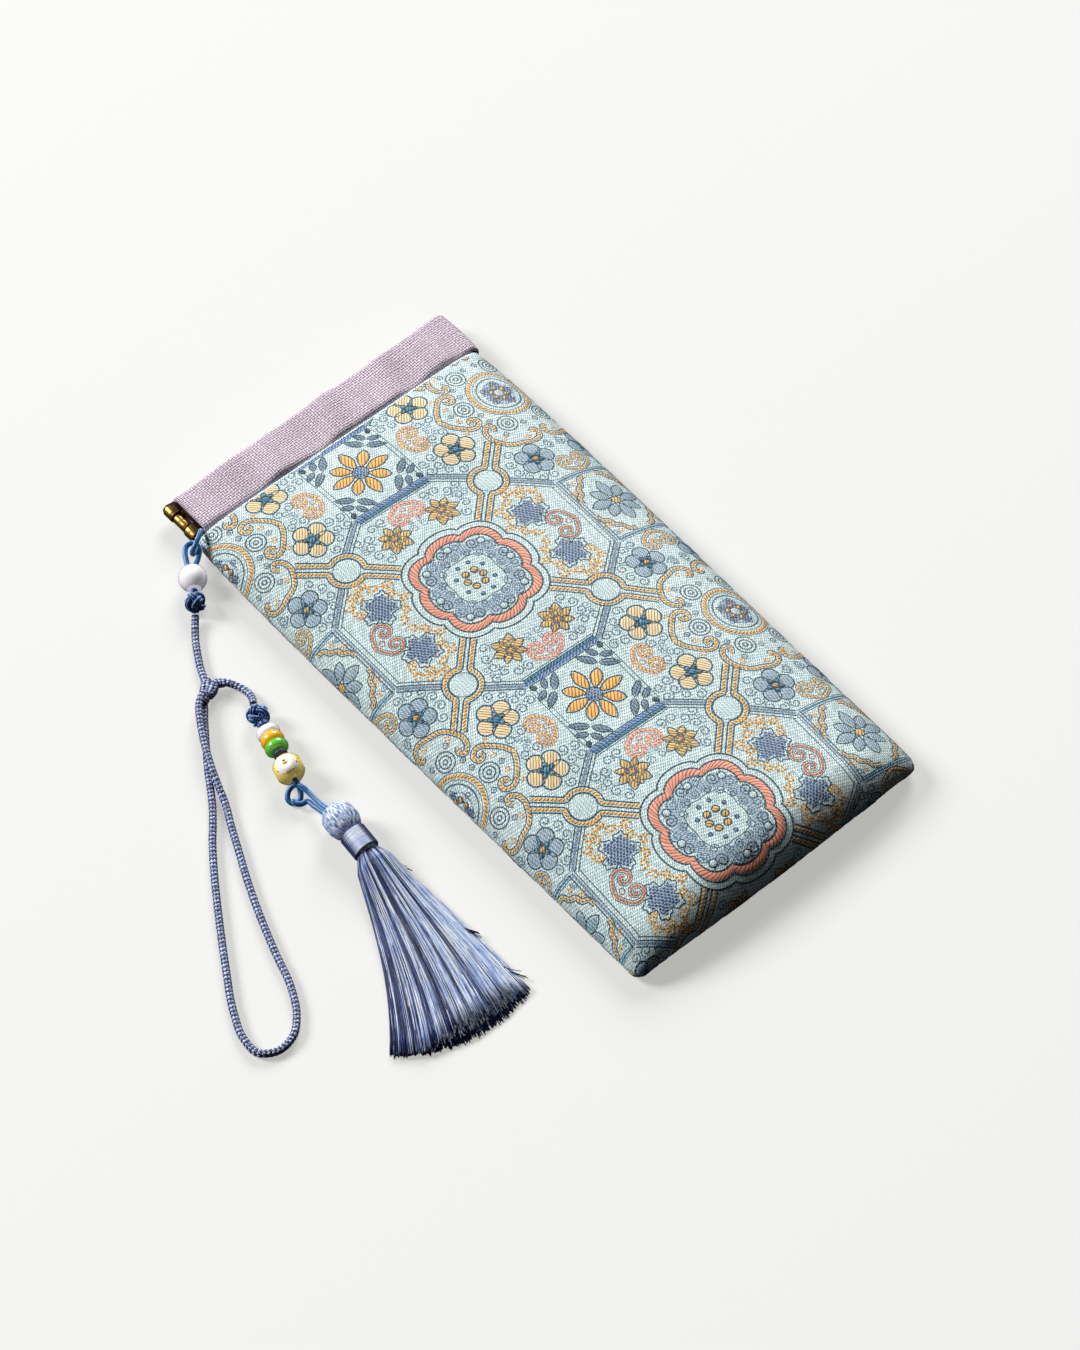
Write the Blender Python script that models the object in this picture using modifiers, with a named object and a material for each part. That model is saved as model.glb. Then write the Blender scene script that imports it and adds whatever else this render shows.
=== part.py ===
"""A sunglasses pouch lying on its back: a padded brocade body, a linen band with a sprung
flex-frame mouth, and a braided wrist lanyard with knots, beads and a tassel.

X runs across the pouch, Y towards its mouth, Z up. The origin is on the ground under its middle.
"""

import math
from collections import namedtuple

import bmesh
import bpy
import numpy as np
from mathutils import Matrix, Vector

mm = 0.001
clearance = 0.3 * mm                 # between pieces that touch on the real pouch

# The cloth body
pouch_width = 91.0 * mm
pouch_length = 176.0 * mm
body_wall = 1.6 * mm                 # brocade, padding and lining together
crown_height = 12.8 * mm             # top of the padded body over the ground
seam_height = 2.8 * mm               # side seam over the ground
seam_roll = 2.8 * mm                 # radius of the back panel's turn up to the seam
end_roll = 9.0 * mm                  # how far the rounded bottom end reaches along the pouch
end_height = 5.2 * mm                # height of the bottom end's outermost line
end_tuck = 3.6 * mm                  # how far the back panel turns up at the bottom end
end_bulge = 1.0 * mm                 # how far the bottom end stands out at its middle
corner_radius = 2.6 * mm             # bottom corners, seen from above
cloth_skew = 2.6 * mm                # how far the right side lies ahead of the left, cut a little off square

# The linen band and the flex frame inside it
band_length = 13.4 * mm              # along the pouch
band_left_inset = 3.7 * mm           # from the pouch's left side to the band's tubes
band_right_inset = 5.2 * mm          # from its right side, where a hood of linen covers the hinge
cloth_wall = 1.0 * mm
strip_thickness = 0.4 * mm
strip_side_room = 0.5 * mm           # between the strip's edges and the tube's inside
mouth_gap = 4.4 * mm                 # between the lips at their middle
lip_dip = 2.2 * mm                   # how far the front lip draws back at its middle
lip_flatness = 4                     # power of the lips' arch: higher is flatter in the middle
knuckle_diameter = 3.4 * mm
middle_knuckle_diameter = 2.8 * mm
end_knuckle_length = 3.2 * mm
pin_diameter = 1.2 * mm
pin_head_diameter = 2.8 * mm
pin_head_height = 0.7 * mm
hood_overlap = 0.4 * mm              # of the hood into the front tube's end
hood_lift = 0.1 * mm
hood_side = 0.2 * mm                 # from the hood's edge to the band's
hood_foot = 0.9 * mm                 # of the hood's lower edge over the ground

# Cords, knots and beads of the lanyard
braid_diameter = 2.0 * mm
satin_diameter = 1.35 * mm
loop_diameter = 1.2 * mm
white_bead_diameter = 7.0 * mm
white_bead_length = 6.0 * mm
neck_entry = 1.2 * mm                # how far the upper knot's neck goes into the white bead
upper_knot_diameter = 5.9 * mm
lower_knot_diameter = 6.2 * mm
lower_neck_diameter = 2.6 * mm
fork_length = 5.6 * mm
fork_width = 4.8 * mm
fork_height = 3.8 * mm
disc_bead_diameter = 5.8 * mm
disc_bead_length = 2.1 * mm
collar_diameter = 3.6 * mm
collar_length = 1.5 * mm
coin_bead_diameter = 7.6 * mm
coin_face_width = 6.9 * mm           # across its flat coin faces

# The tassel
head_diameter = 8.4 * mm
head_length = 8.0 * mm
neck_start = 3.7 * mm                # from the head's middle
neck_diameter = 4.6 * mm
binding_length = 6.0 * mm
binding_wall = 0.8 * mm
skirt_length = 54.0 * mm
skirt_thickness = 2.0 * mm
lock_count = 8
lock_width = 6.0 * mm

# Sections of the body from the band (0) to the bottom end (1). Shares: width of pouch_width,
# crown of crown_height, seam of seam_height. Power squares off the section's shoulders.
Section = namedtuple("Section", "along width crown seam power")
body_sections = [
    Section(0.00, 0.985, 0.79, 1.00, 4.0),
    Section(0.06, 0.995, 0.89, 1.00, 3.6),
    Section(0.22, 1.000, 0.96, 1.00, 3.2),
    Section(0.50, 0.992, 1.00, 1.00, 3.1),
    Section(0.78, 0.978, 1.02, 1.00, 3.1),
    Section(0.93, 0.972, 1.00, 1.00, 3.2),
    Section(1.00, 0.970, 0.96, 1.00, 3.4),
]

# Locks of the tassel's skirt: direction in degrees from straight back along the pouch, at the
# neck and at the tip, and each lock's length as a share of skirt_length
Lock = namedtuple("Lock", "leaves_at ends_at length")
first_lock = Lock(-4.0, 1.0, 0.99)
last_lock = Lock(21.0, 38.0, 1.00)
middle_lock_length = 1.02

# Rings of the tassel's head, from its top: place along head_length and width of head_diameter
HeadRing = namedtuple("HeadRing", "along width")
head_rings = [
    HeadRing(-0.50, 0.30),
    HeadRing(-0.44, 0.62),
    HeadRing(-0.30, 0.88),
    HeadRing(-0.10, 1.00),
    HeadRing(0.10, 0.98),
    HeadRing(0.28, 0.84),
    HeadRing(0.40, 0.62),
]

# Routes of the cords, in millimetres, chosen by hand along the way that each cord lies
side_loop_route = [
    (-42.9, 73.7, 6.8), (-45.0, 72.0, 7.0), (-46.9, 70.9, 6.6), (-48.2, 70.6, 5.3),
    (-47.7, 70.9, 3.7), (-46.8, 71.7, 2.9), (-45.9, 72.6, 2.6),
]
lanyard_loop_route = [
    (-52.1, 66.8, 3.8), (-51.3, 68.2, 3.9), (-50.3, 70.2, 4.1), (-49.3, 71.9, 4.5),
    (-47.9, 73.1, 4.9), (-46.5, 72.9, 5.1), (-45.9, 71.6, 5.1), (-46.3, 70.2, 4.8),
    (-47.8, 68.8, 4.3), (-49.9, 67.3, 3.9), (-50.8, 65.9, 3.8),
]
lanyard_cord_route = [
    (-57.8, 57.0, 2.3), (-59.7, 54.7, 1.5), (-61.9, 51.7, 1.1), (-64.0, 48.2, 1.1),
    (-66.1, 44.3, 1.2), (-67.6, 40.9, 1.7),
]
wrist_loop_route = [
    (-71.9, 36.4, 3.1), (-73.7, 34.8, 3.1), (-76.3, 30.9, 3.1), (-78.9, 26.3, 3.2),
    (-81.1, 21.7, 3.2), (-82.9, 17.4, 2.9), (-84.2, 13.4, 2.0), (-85.6, 9.3, 1.2),
    (-87.9, 4.5, 1.1), (-91.3, -3.1, 1.1), (-94.5, -10.2, 1.1), (-97.4, -17.4, 1.1),
    (-101.6, -29.3, 1.1), (-105.2, -40.5, 1.1), (-108.2, -46.0, 1.1), (-112.6, -50.2, 1.1),
    (-117.6, -51.0, 1.1), (-121.2, -48.6, 1.1), (-121.4, -43.4, 1.1), (-119.0, -36.9, 1.1),
    (-112.9, -26.0, 1.1), (-106.4, -15.2, 1.1), (-98.5, -2.9, 1.1), (-94.2, 3.2, 1.1),
    (-91.0, 7.2, 1.1), (-88.1, 11.1, 1.1), (-85.5, 15.2, 1.1), (-83.1, 19.2, 1.1),
    (-80.4, 23.3, 1.1), (-77.5, 27.5, 1.1), (-74.6, 31.7, 1.1), (-71.8, 35.4, 1.1),
]
charm_cord_route = [
    (-66.6, 38.5, 2.0), (-64.5, 37.3, 1.6), (-62.6, 34.6, 1.2), (-61.9, 31.6, 1.3),
    (-62.6, 28.6, 2.1), (-63.6, 27.0, 2.7),
]
tassel_cord_route = [
    (-71.1, 0.9, 3.0), (-72.6, 0.3, 1.7), (-74.0, -0.8, 0.9), (-74.1, -2.4, 0.9),
    (-72.7, -2.9, 1.4), (-71.2, -1.9, 2.2), (-69.9, -0.9, 2.6), (-68.7, -1.9, 2.6),
    (-68.2, -4.0, 2.8), (-68.3, -6.2, 3.4), (-68.6, -8.3, 4.0),
]
white_bead_place = (-52.2, 65.2, 3.7)
upper_knot_place = (-55.9, 59.5, 3.1)
fork_place = (-69.5, 37.7, 2.0)
lower_knot_place = (-64.8, 23.6, 3.2)
coin_bead_place = (-69.2, 6.0, 3.9)
tassel_head_place = (-68.9, -13.0, 4.3)
tassel_neck_way = (-0.05, -0.996, -0.075)

# Worked out from the sizes above
half_length = pouch_length / 2
half_reach = (pouch_width - band_left_inset - band_right_inset) / 2
band_x = (band_left_inset - band_right_inset) / 2
band_y = half_length - band_length           # where the linen band starts
band_middle = half_length - band_length / 2
body_mouth_y = band_y - clearance
casing_thickness = 2 * cloth_wall + strip_thickness + 2 * clearance
strip_offset = (casing_thickness + clearance) / 2
strip_width = band_length - 2 * (cloth_wall + strip_side_room)
hinge_x = half_reach + clearance + knuckle_diameter / 2
hinge_z = strip_offset + casing_thickness / 2 + 0.35 * mm
lip_rise = mouth_gap + 1.5 * casing_thickness - (hinge_z + strip_offset)
back_sag = hinge_z - strip_offset - casing_thickness / 2
white_bead_bore = 2 * satin_diameter + 3 * clearance
thread_bore = satin_diameter + 2 * clearance

collection = bpy.data.collections.new("sunglasses_pouch")
cutters = bpy.data.collections.new("sunglasses_pouch_cutters")


def clear_scene():
    for obj in list(bpy.data.objects):
        bpy.data.objects.remove(obj, do_unlink=True)
    bpy.context.scene.collection.children.link(collection)
    bpy.context.scene.collection.children.link(cutters)


def material(name, color, roughness, metallic=0.0):
    made = bpy.data.materials.new(name)
    made.use_nodes = True
    shader = made.node_tree.nodes["Principled BSDF"]
    shader.inputs["Base Color"].default_value = (*color, 1.0)
    shader.inputs["Roughness"].default_value = roughness
    shader.inputs["Metallic"].default_value = metallic
    made.diffuse_color = (*color, 1.0)
    return made


def add_object(name, mesh, look, place=None):
    obj = bpy.data.objects.new(name, mesh)
    collection.objects.link(obj)
    if look:
        obj.data.materials.append(look)
    if place is not None:
        obj.matrix_world = place
    return obj


def mesh_of(name, points, faces):
    """A mesh from points and faces, its doubles merged and its faces turned outwards."""
    mesh = bpy.data.meshes.new(name)
    mesh.from_pydata([tuple(point) for point in points], [], faces)
    shape = bmesh.new()
    shape.from_mesh(mesh)
    bmesh.ops.remove_doubles(shape, verts=shape.verts, dist=1e-6)
    bmesh.ops.recalc_face_normals(shape, faces=shape.faces)
    shape.to_mesh(mesh)
    shape.free()
    mesh.shade_smooth()
    mesh.set_sharp_from_angle(angle=math.radians(40))
    return mesh


def loft_faces(rows, columns, round_columns):
    """Quads between neighbouring rows of a grid, whose columns may close into a ring."""
    count = columns if round_columns else columns - 1
    return [
        (
            row * columns + col,
            row * columns + (col + 1) % columns,
            (row + 1) * columns + (col + 1) % columns,
            (row + 1) * columns + col,
        )
        for row in range(rows - 1)
        for col in range(count)
    ]


def lofted(name, rings, look):
    """A closed solid through rings of points, with a flat cap at each end."""
    rows, columns = len(rings), len(rings[0])
    faces = loft_faces(rows, columns, True)
    faces.append(tuple(range(columns)))
    faces.append(tuple((rows - 1) * columns + col for col in range(columns)))
    return add_object(name, mesh_of(name, np.concatenate(rings), faces), look)


def facing(place, way):
    """The matrix that puts a piece at place, in millimetres, with its Z axis along way."""
    turn = Vector(way).to_track_quat("Z", "Y").to_matrix().to_4x4()
    return Matrix.Translation(Vector(place) * mm) @ turn


def boolean(target, other, operation):
    """Joins other to target, or cuts it away, and puts other with the cutters."""
    collection.objects.unlink(other)
    cutters.objects.link(other)
    other.hide_render = True
    other.display_type = "WIRE"
    modifier = target.modifiers.new(f"{operation.lower()}_{other.name}", "BOOLEAN")
    modifier.operation = operation
    modifier.object = other
    modifier.solver = "EXACT"


def cylinder(name, diameter, length, place, sides=16, look=None):
    shape = bmesh.new()
    bmesh.ops.create_cone(
        shape, cap_ends=True, segments=sides, radius1=diameter / 2, radius2=diameter / 2, depth=length
    )
    mesh = bpy.data.meshes.new(name)
    shape.to_mesh(mesh)
    shape.free()
    return add_object(name, mesh, look, place)


def block(name, low, high):
    """A box between two corners."""
    size = [high[axis] - low[axis] for axis in range(3)]
    middle = [(high[axis] + low[axis]) / 2 for axis in range(3)]
    shape = bmesh.new()
    bmesh.ops.create_cube(shape, size=1.0)
    bmesh.ops.scale(shape, vec=size, verts=shape.verts)
    mesh = bpy.data.meshes.new(name)
    shape.to_mesh(mesh)
    shape.free()
    return add_object(name, mesh, None, Matrix.Translation(middle))


def turned(name, profile, look, place, sides=16):
    """A piece turned about its own Z axis from a closed profile of (radius, height) points."""
    mesh = bpy.data.meshes.new(name)
    count = len(profile)
    edges = [(index, (index + 1) % count) for index in range(count)]
    mesh.from_pydata([(radius, 0.0, height) for radius, height in profile], edges, [])
    obj = add_object(name, mesh, look, place)
    screw = obj.modifiers.new("turn", "SCREW")
    screw.steps = sides
    screw.render_steps = sides
    screw.use_merge_vertices = True
    screw.merge_threshold = 1e-5
    return obj


def bored_bead(name, diameter, length, bore, look, place, arc_points=7, sides=16):
    """A round bead with flat ends and a bore: a circle's arc, cut off at half the length."""
    reach = math.asin(min(0.98, length / diameter))
    angles = np.linspace(reach, -reach, arc_points)
    profile = [
        (diameter / 2 * math.cos(angle), length / 2 * math.sin(angle) / math.sin(reach)) for angle in angles
    ]
    profile += [(bore / 2, -length / 2), (bore / 2, length / 2)]
    return turned(name, profile, look, place, sides)


def disc_bead(name, diameter, length, bore, look, place):
    """A flat bead with a rounded rim of half its length."""
    rim = length / 2
    angles = np.linspace(math.pi / 2, -math.pi / 2, 6)
    profile = [
        (diameter / 2 - rim + rim * math.cos(angle), rim * math.sin(angle)) for angle in angles
    ]
    profile += [(bore / 2, -rim), (bore / 2, rim)]
    return turned(name, profile, look, place)


def smooth_values(places, values, at):
    """Values at places, joined by a cubic curve whose slopes are the values' own gradient."""
    places = np.asarray(places, float)
    values = np.asarray(values, float)
    at = np.clip(at, places[0], places[-1])
    slopes = np.gradient(values, places, axis=0)
    index = np.clip(np.searchsorted(places, at, side="right") - 1, 0, len(places) - 2)
    span = places[index + 1] - places[index]
    t = (at - places[index]) / span
    if values.ndim == 2:
        t, span = t[:, None], span[:, None]
    return (
        (2 * t**3 - 3 * t**2 + 1) * values[index]
        + (t**3 - 2 * t**2 + t) * span * slopes[index]
        + (3 * t**2 - 2 * t**3) * values[index + 1]
        + (t**3 - t**2) * span * slopes[index + 1]
    )


def smooth_route(route, spacing):
    """Evenly spaced points on the smooth curve through a route given in millimetres."""
    points = np.array(route) * mm
    steps = np.linalg.norm(np.diff(points, axis=0), axis=1)
    places = np.concatenate([[0], np.cumsum(steps)])
    fine = smooth_values(places, points, np.linspace(0, places[-1], 1200))
    run = np.concatenate([[0], np.cumsum(np.linalg.norm(np.diff(fine, axis=0), axis=1))])
    count = max(4, round(run[-1] / spacing))
    even = np.linspace(0, run[-1], count + 1)
    return np.stack([np.interp(even, run, fine[:, axis]) for axis in range(3)], axis=1)


def cord(name, route, diameter, look, spacing=2.5):
    """A round cord along a route: a curve with a bevel and filled caps."""
    points = smooth_route(route, spacing * diameter)
    curve = bpy.data.curves.new(name, "CURVE")
    curve.dimensions = "3D"
    curve.bevel_depth = diameter / 2
    curve.bevel_resolution = 2
    curve.use_fill_caps = True
    spline = curve.splines.new("POLY")
    spline.points.add(len(points) - 1)
    for target, point in zip(spline.points, points):
        target.co = (*point, 1.0)
    obj = bpy.data.objects.new(name, curve)
    collection.objects.link(obj)
    curve.materials.append(look)
    return obj


def body_column(column, along):
    places = [section.along for section in body_sections]
    return smooth_values(places, [getattr(section, column) for section in body_sections], along)


def front_lip_height(across):
    """Height of the front strip's middle, across being a share of half the band's reach."""
    return hinge_z + strip_offset + lip_rise * (1 - across**lip_flatness)


def back_lip_height(across):
    return hinge_z - strip_offset - back_sag * (1 - across**lip_flatness)


def skew_at(x):
    """How far the cloth at x lies ahead of the pouch's middle."""
    return cloth_skew * x / pouch_width


def front_lip_shift(across):
    """How far the front lip draws back from the mouth's line."""
    return -lip_dip * (1 - across**lip_flatness)


def back_lip_shift(across):
    return 0.0 * across


def body_skin(inset):
    """Front and back panels of the body as point grids, with every wall taken off by inset.

    Both panels share their side edges and their last row. Across each panel the height follows
    a squared-off arch, (1 - q^power)^(1/2), and over the bottom end a quarter ellipse.
    """
    length = body_mouth_y + half_length
    end_angles = np.linspace(0, math.pi / 2, 7)[1:]
    straight = np.linspace(0, 1, 15) ** 1.1 * (length - end_roll)
    run = np.concatenate([straight, length - end_roll + (end_roll - inset) * np.sin(end_angles)])
    along = np.clip(run / length, 0, 1)[:, None]
    across = np.sin(np.linspace(-1, 1, 21) * math.pi / 2)[None, :]
    q = np.abs(across)

    into_corner = np.clip((run - (length - inset - corner_radius)) / corner_radius, 0, 1)[:, None]
    half_width = pouch_width / 2 * body_column("width", along[:, 0])[:, None] - inset
    half_width = half_width - (corner_radius - inset) * (1 - np.sqrt(1 - into_corner**2))
    x = half_width * across
    y = body_mouth_y - run[:, None] + skew_at(x)

    into_end = np.clip((run - (length - end_roll)) / (end_roll - inset), 0, 1)[:, None]
    y = y - end_bulge * into_end * (1 - q**2)
    power = body_column("power", along[:, 0])[:, None]
    arch = np.sqrt(np.clip(1 - q**power, 0, 1)) * np.sqrt(1 - into_end**2)
    crown = crown_height * body_column("crown", along[:, 0])[:, None] - inset
    seam = seam_height * body_column("seam", along[:, 0])[:, None]
    edge = seam + (end_height - seam) * into_end**2 * (1 - q**6)
    top = edge + (crown - edge) * arch

    roll = np.clip(1 - (half_width - np.abs(x)) / (seam_roll - inset / 2), 0, 1)
    under_end = np.clip(1 - (length - inset - run[:, None]) / (end_tuck - inset / 2), 0, 1)
    floor = np.sqrt(1 - roll**2) * np.sqrt(1 - under_end**2)
    bottom = edge - (edge - inset) * floor

    shift = front_lip_shift(q) * np.clip(1 - along / 0.3, 0, 1) ** 2
    front = np.stack([x, y + shift, top], axis=-1)
    back = np.stack([x, y, bottom], axis=-1)
    return front, back


def pouch_body(look):
    """Outer and inner skins of the body, joined round the mouth's rim."""
    points, faces, starts = [], [], []
    for inset in (0.0, body_wall):
        for panel in body_skin(inset):
            rows, columns = panel.shape[:2]
            start = len(points)
            starts.append(start)
            points.extend(panel.reshape(-1, 3))
            quads = loft_faces(rows, columns, False)
            faces.extend(tuple(start + index for index in quad) for quad in quads)
    for outer, inner in ((starts[0], starts[2]), (starts[1], starts[3])):
        faces.extend(
            (outer + col, outer + col + 1, inner + col + 1, inner + col) for col in range(columns - 1)
        )
    return add_object("pouch_body", mesh_of("pouch_body", points, faces), look)


def casing(name, lip_height, lip_shift, look):
    """A flattened cloth tube across the mouth, open at both ends."""
    turn = np.linspace(-math.pi / 2, math.pi / 2, 5)
    radius = casing_thickness / 2
    straight = band_length / 2 - radius
    ring_y = np.concatenate([straight + radius * np.cos(turn), -straight - radius * np.cos(turn)])
    ring_z = np.concatenate([radius * np.sin(turn), -radius * np.sin(turn)])
    stations = np.sin(np.linspace(-1, 1, 17) * math.pi / 2 * 0.92)
    stations = stations / stations[-1]
    rings = []
    for across in stations:
        x = band_x + across * half_reach
        y = band_middle + lip_shift(across) + skew_at(x) + ring_y
        z = lip_height(across) + ring_z
        rings.append(np.stack([np.full_like(y, x), y, z], axis=1))
    faces = loft_faces(len(rings), len(ring_y), True)
    obj = add_object(name, mesh_of(name, np.concatenate(rings), faces), look)
    solidify = obj.modifiers.new("cloth", "SOLIDIFY")
    solidify.thickness = cloth_wall
    solidify.offset = -1
    return obj


def end_hood(target):
    """The linen's right end: a sheet that leaves the front tube's top, and falls outside the hinge."""
    reach = knuckle_diameter / 2 + 1.5 * clearance + cloth_wall / 2
    start = band_x + half_reach - hood_overlap
    hinge = band_x + hinge_x
    turn = np.linspace(math.pi / 2, 0, 7)
    rise = strip_offset + casing_thickness / 2 - cloth_wall / 2 + hood_lift
    across = np.concatenate([[start], hinge + reach * np.cos(turn), [hinge + reach]])
    height = np.concatenate([[hinge_z + rise], hinge_z + rise * np.sin(turn), [hood_foot]])
    rows = [
        [(x, band_middle + skew_at(x) + side * (band_length / 2 - hood_side), z) for side in (-1, 1)]
        for x, z in zip(across, height)
    ]
    mesh = mesh_of("end_hood", np.concatenate(rows), loft_faces(len(rows), 2, False))
    hood = add_object("end_hood", mesh, None)
    solidify = hood.modifiers.new("cloth", "SOLIDIFY")
    solidify.thickness = cloth_wall
    solidify.offset = 0
    boolean(target, hood, "UNION")


def along_hinge(side, y):
    """The matrix that puts a piece on a hinge's axis at y, with its Z axis along the hinge."""
    x = band_x + side * hinge_x
    place = Matrix.Translation((x, y + skew_at(x), hinge_z))
    return place @ Matrix.Rotation(math.pi / 2, 4, "X")


def knuckle_spans():
    """Start and end of the three knuckles along the hinge, from the band's start to its end."""
    low = band_y + clearance + pin_head_height
    high = half_length - clearance - pin_head_height
    return [
        (low, low + end_knuckle_length),
        (low + end_knuckle_length + clearance, high - end_knuckle_length - clearance),
        (high - end_knuckle_length, high),
    ]


def flex_strip(name, lip_height, lip_shift, spans, diameter, look):
    """A spring strip across the mouth, with bored knuckles at both ends."""
    reach = half_reach + 2 * clearance
    stations = np.sin(np.linspace(-1, 1, 15) * math.pi / 2)
    rows = []
    for across in stations:
        inside = min(1.0, abs(across) * reach / half_reach)
        x = band_x + across * reach
        middle = band_middle + lip_shift(inside) + skew_at(x)
        height = lip_height(inside)
        rows.append([(x, middle + side * strip_width / 2, height) for side in (-1, 1)])
    obj = add_object(name, mesh_of(name, np.concatenate(rows), loft_faces(len(rows), 2, False)), look)
    solidify = obj.modifiers.new("strip", "SOLIDIFY")
    solidify.thickness = strip_thickness
    solidify.offset = 0
    height = lip_height(1.0)
    toward_hinge = hinge_z - math.copysign(diameter / 2 - 2 * clearance, hinge_z - height)
    away = height - math.copysign(strip_thickness * 0.7, hinge_z - height)
    leaf_low, leaf_high = sorted([toward_hinge, away])
    for side in (-1, 1):
        for number, (low, high) in enumerate(spans):
            ends = sorted([band_x + side * (half_reach + clearance), band_x + side * hinge_x])
            shift = skew_at(band_x + side * hinge_x)
            leaf = block(
                f"{name}_leaf_{side}_{number}",
                (ends[0], low + shift, leaf_low),
                (ends[1], high + shift, leaf_high),
            )
            boolean(obj, leaf, "UNION")
            place = along_hinge(side, (low + high) / 2)
            knuckle = cylinder(f"{name}_knuckle_{side}_{number}", diameter, high - low, place)
            boolean(obj, knuckle, "UNION")
        place = along_hinge(side, band_middle)
        bore = cylinder(f"{name}_bore_{side}", pin_diameter + 2 * clearance, 2 * band_length, place)
        boolean(obj, bore, "DIFFERENCE")
    return obj


def hinge_pin(name, side, look):
    """A pin with a domed head at each end, turned along the hinge."""
    half_pin = band_length / 2
    head = pin_head_diameter / 2
    shank = half_pin - pin_head_height
    profile = [(0.0, half_pin), (head * 0.55, half_pin - 0.15 * mm), (head, shank), (pin_diameter / 2, shank)]
    profile += [(radius, -height) for radius, height in reversed(profile)]
    mesh = bpy.data.meshes.new(name)
    mesh.from_pydata(
        [(radius, 0.0, height) for radius, height in profile],
        [(index, index + 1) for index in range(len(profile) - 1)],
        [],
    )
    obj = add_object(name, mesh, look, along_hinge(side, band_middle))
    screw = obj.modifiers.new("turn", "SCREW")
    screw.steps = 12
    screw.render_steps = 12
    screw.use_merge_vertices = True
    screw.merge_threshold = 1e-5
    return obj


def button_knot(name, diameter, place, way, neck_width, neck_reach, look):
    """A ball knot: a slightly flattened ball with a short neck where the cord leaves it."""
    shape = bmesh.new()
    bmesh.ops.create_uvsphere(shape, u_segments=14, v_segments=9, radius=diameter / 2)
    bmesh.ops.scale(shape, vec=(1.0, 1.0, 0.93), verts=shape.verts)
    mesh = bpy.data.meshes.new(name)
    shape.to_mesh(mesh)
    shape.free()
    mesh.shade_smooth()
    obj = add_object(name, mesh, look, facing(place, way))
    length = diameter / 2 + neck_reach
    middle = facing(place, way) @ Matrix.Translation((0, 0, length / 2))
    boolean(obj, cylinder(f"{name}_neck", neck_width, length, middle, 12), "UNION")
    return obj


def cord_fork(look):
    """The braided joint: a flattened ball, long along the cord."""
    shape = bmesh.new()
    bmesh.ops.create_uvsphere(shape, u_segments=14, v_segments=9, radius=0.5)
    bmesh.ops.scale(shape, vec=(fork_width, fork_height, fork_length), verts=shape.verts)
    mesh = bpy.data.meshes.new("cord_fork")
    shape.to_mesh(mesh)
    shape.free()
    mesh.shade_smooth()
    way = Vector(wrist_loop_route[0]) - Vector(lanyard_cord_route[-1])
    way.z = 0
    return add_object("cord_fork", mesh, look, facing(fork_place, way))


def bead_axis():
    """The straight line from the lower knot to the coin bead, as a unit direction."""
    return (Vector(coin_bead_place) - Vector(lower_knot_place)).normalized()


def bead_string(looks):
    """Discs and collar, one after another from the lower knot, and where the coin bead comes next."""
    axis = bead_axis()
    reach = lower_knot_diameter / 2 + collar_length + clearance
    for color in ("white", "amber", "green"):
        place = Vector(lower_knot_place) + axis * (reach + disc_bead_length / 2) / mm
        way = facing(place, axis)
        disc_bead(f"disc_bead_{color}", disc_bead_diameter, disc_bead_length, thread_bore, looks[color], way)
        reach += disc_bead_length + clearance
    place = Vector(lower_knot_place) + axis * (reach + collar_length / 2) / mm
    way = facing(place, axis)
    disc_bead("cord_collar", collar_diameter, collar_length, thread_bore, looks["collar"], way)
    return reach + collar_length + clearance + coin_bead_diameter / 2


def coin_bead(coin_middle, look):
    """A ceramic ball with flat coin faces on four sides."""
    axis = bead_axis()
    place = facing(Vector(lower_knot_place) + axis * coin_middle / mm, axis)
    length = coin_bead_diameter * 0.94
    obj = bored_bead("coin_bead", coin_bead_diameter, length, thread_bore, look, place, arc_points=11)
    half = coin_face_width / 2
    sides = block("coin_bead_sides", (-half, -half, -coin_bead_diameter), (half, half, coin_bead_diameter))
    sides.matrix_world = place
    boolean(obj, sides, "INTERSECT")
    return obj


def bead_cord(coin_middle, look):
    """The satin cord: straight through the beads, then along its curl to the tassel's head."""
    axis = bead_axis()
    start = lower_knot_diameter / 2 + collar_length + clearance
    end = coin_middle + coin_bead_diameter / 2
    straight = [
        tuple(Vector(lower_knot_place) + axis * (start + (end - start) * share) / mm)
        for share in (0.0, 0.25, 0.5, 0.75, 1.0)
    ]
    return cord("bead_cord", straight + tassel_cord_route, satin_diameter, look, 1.6)


def ring_about(middle, way, width, thickness, sides):
    """Points of an upright ellipse square to way, width across and thickness high."""
    way = Vector(way).normalized()
    across = Vector((0, 0, 1)).cross(way).normalized()
    up = way.cross(across)
    angles = np.arange(sides) * 2 * math.pi / sides
    return np.array([
        Vector(middle) + across * math.cos(angle) * width / 2 + up * math.sin(angle) * thickness / 2
        for angle in angles
    ])


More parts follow.
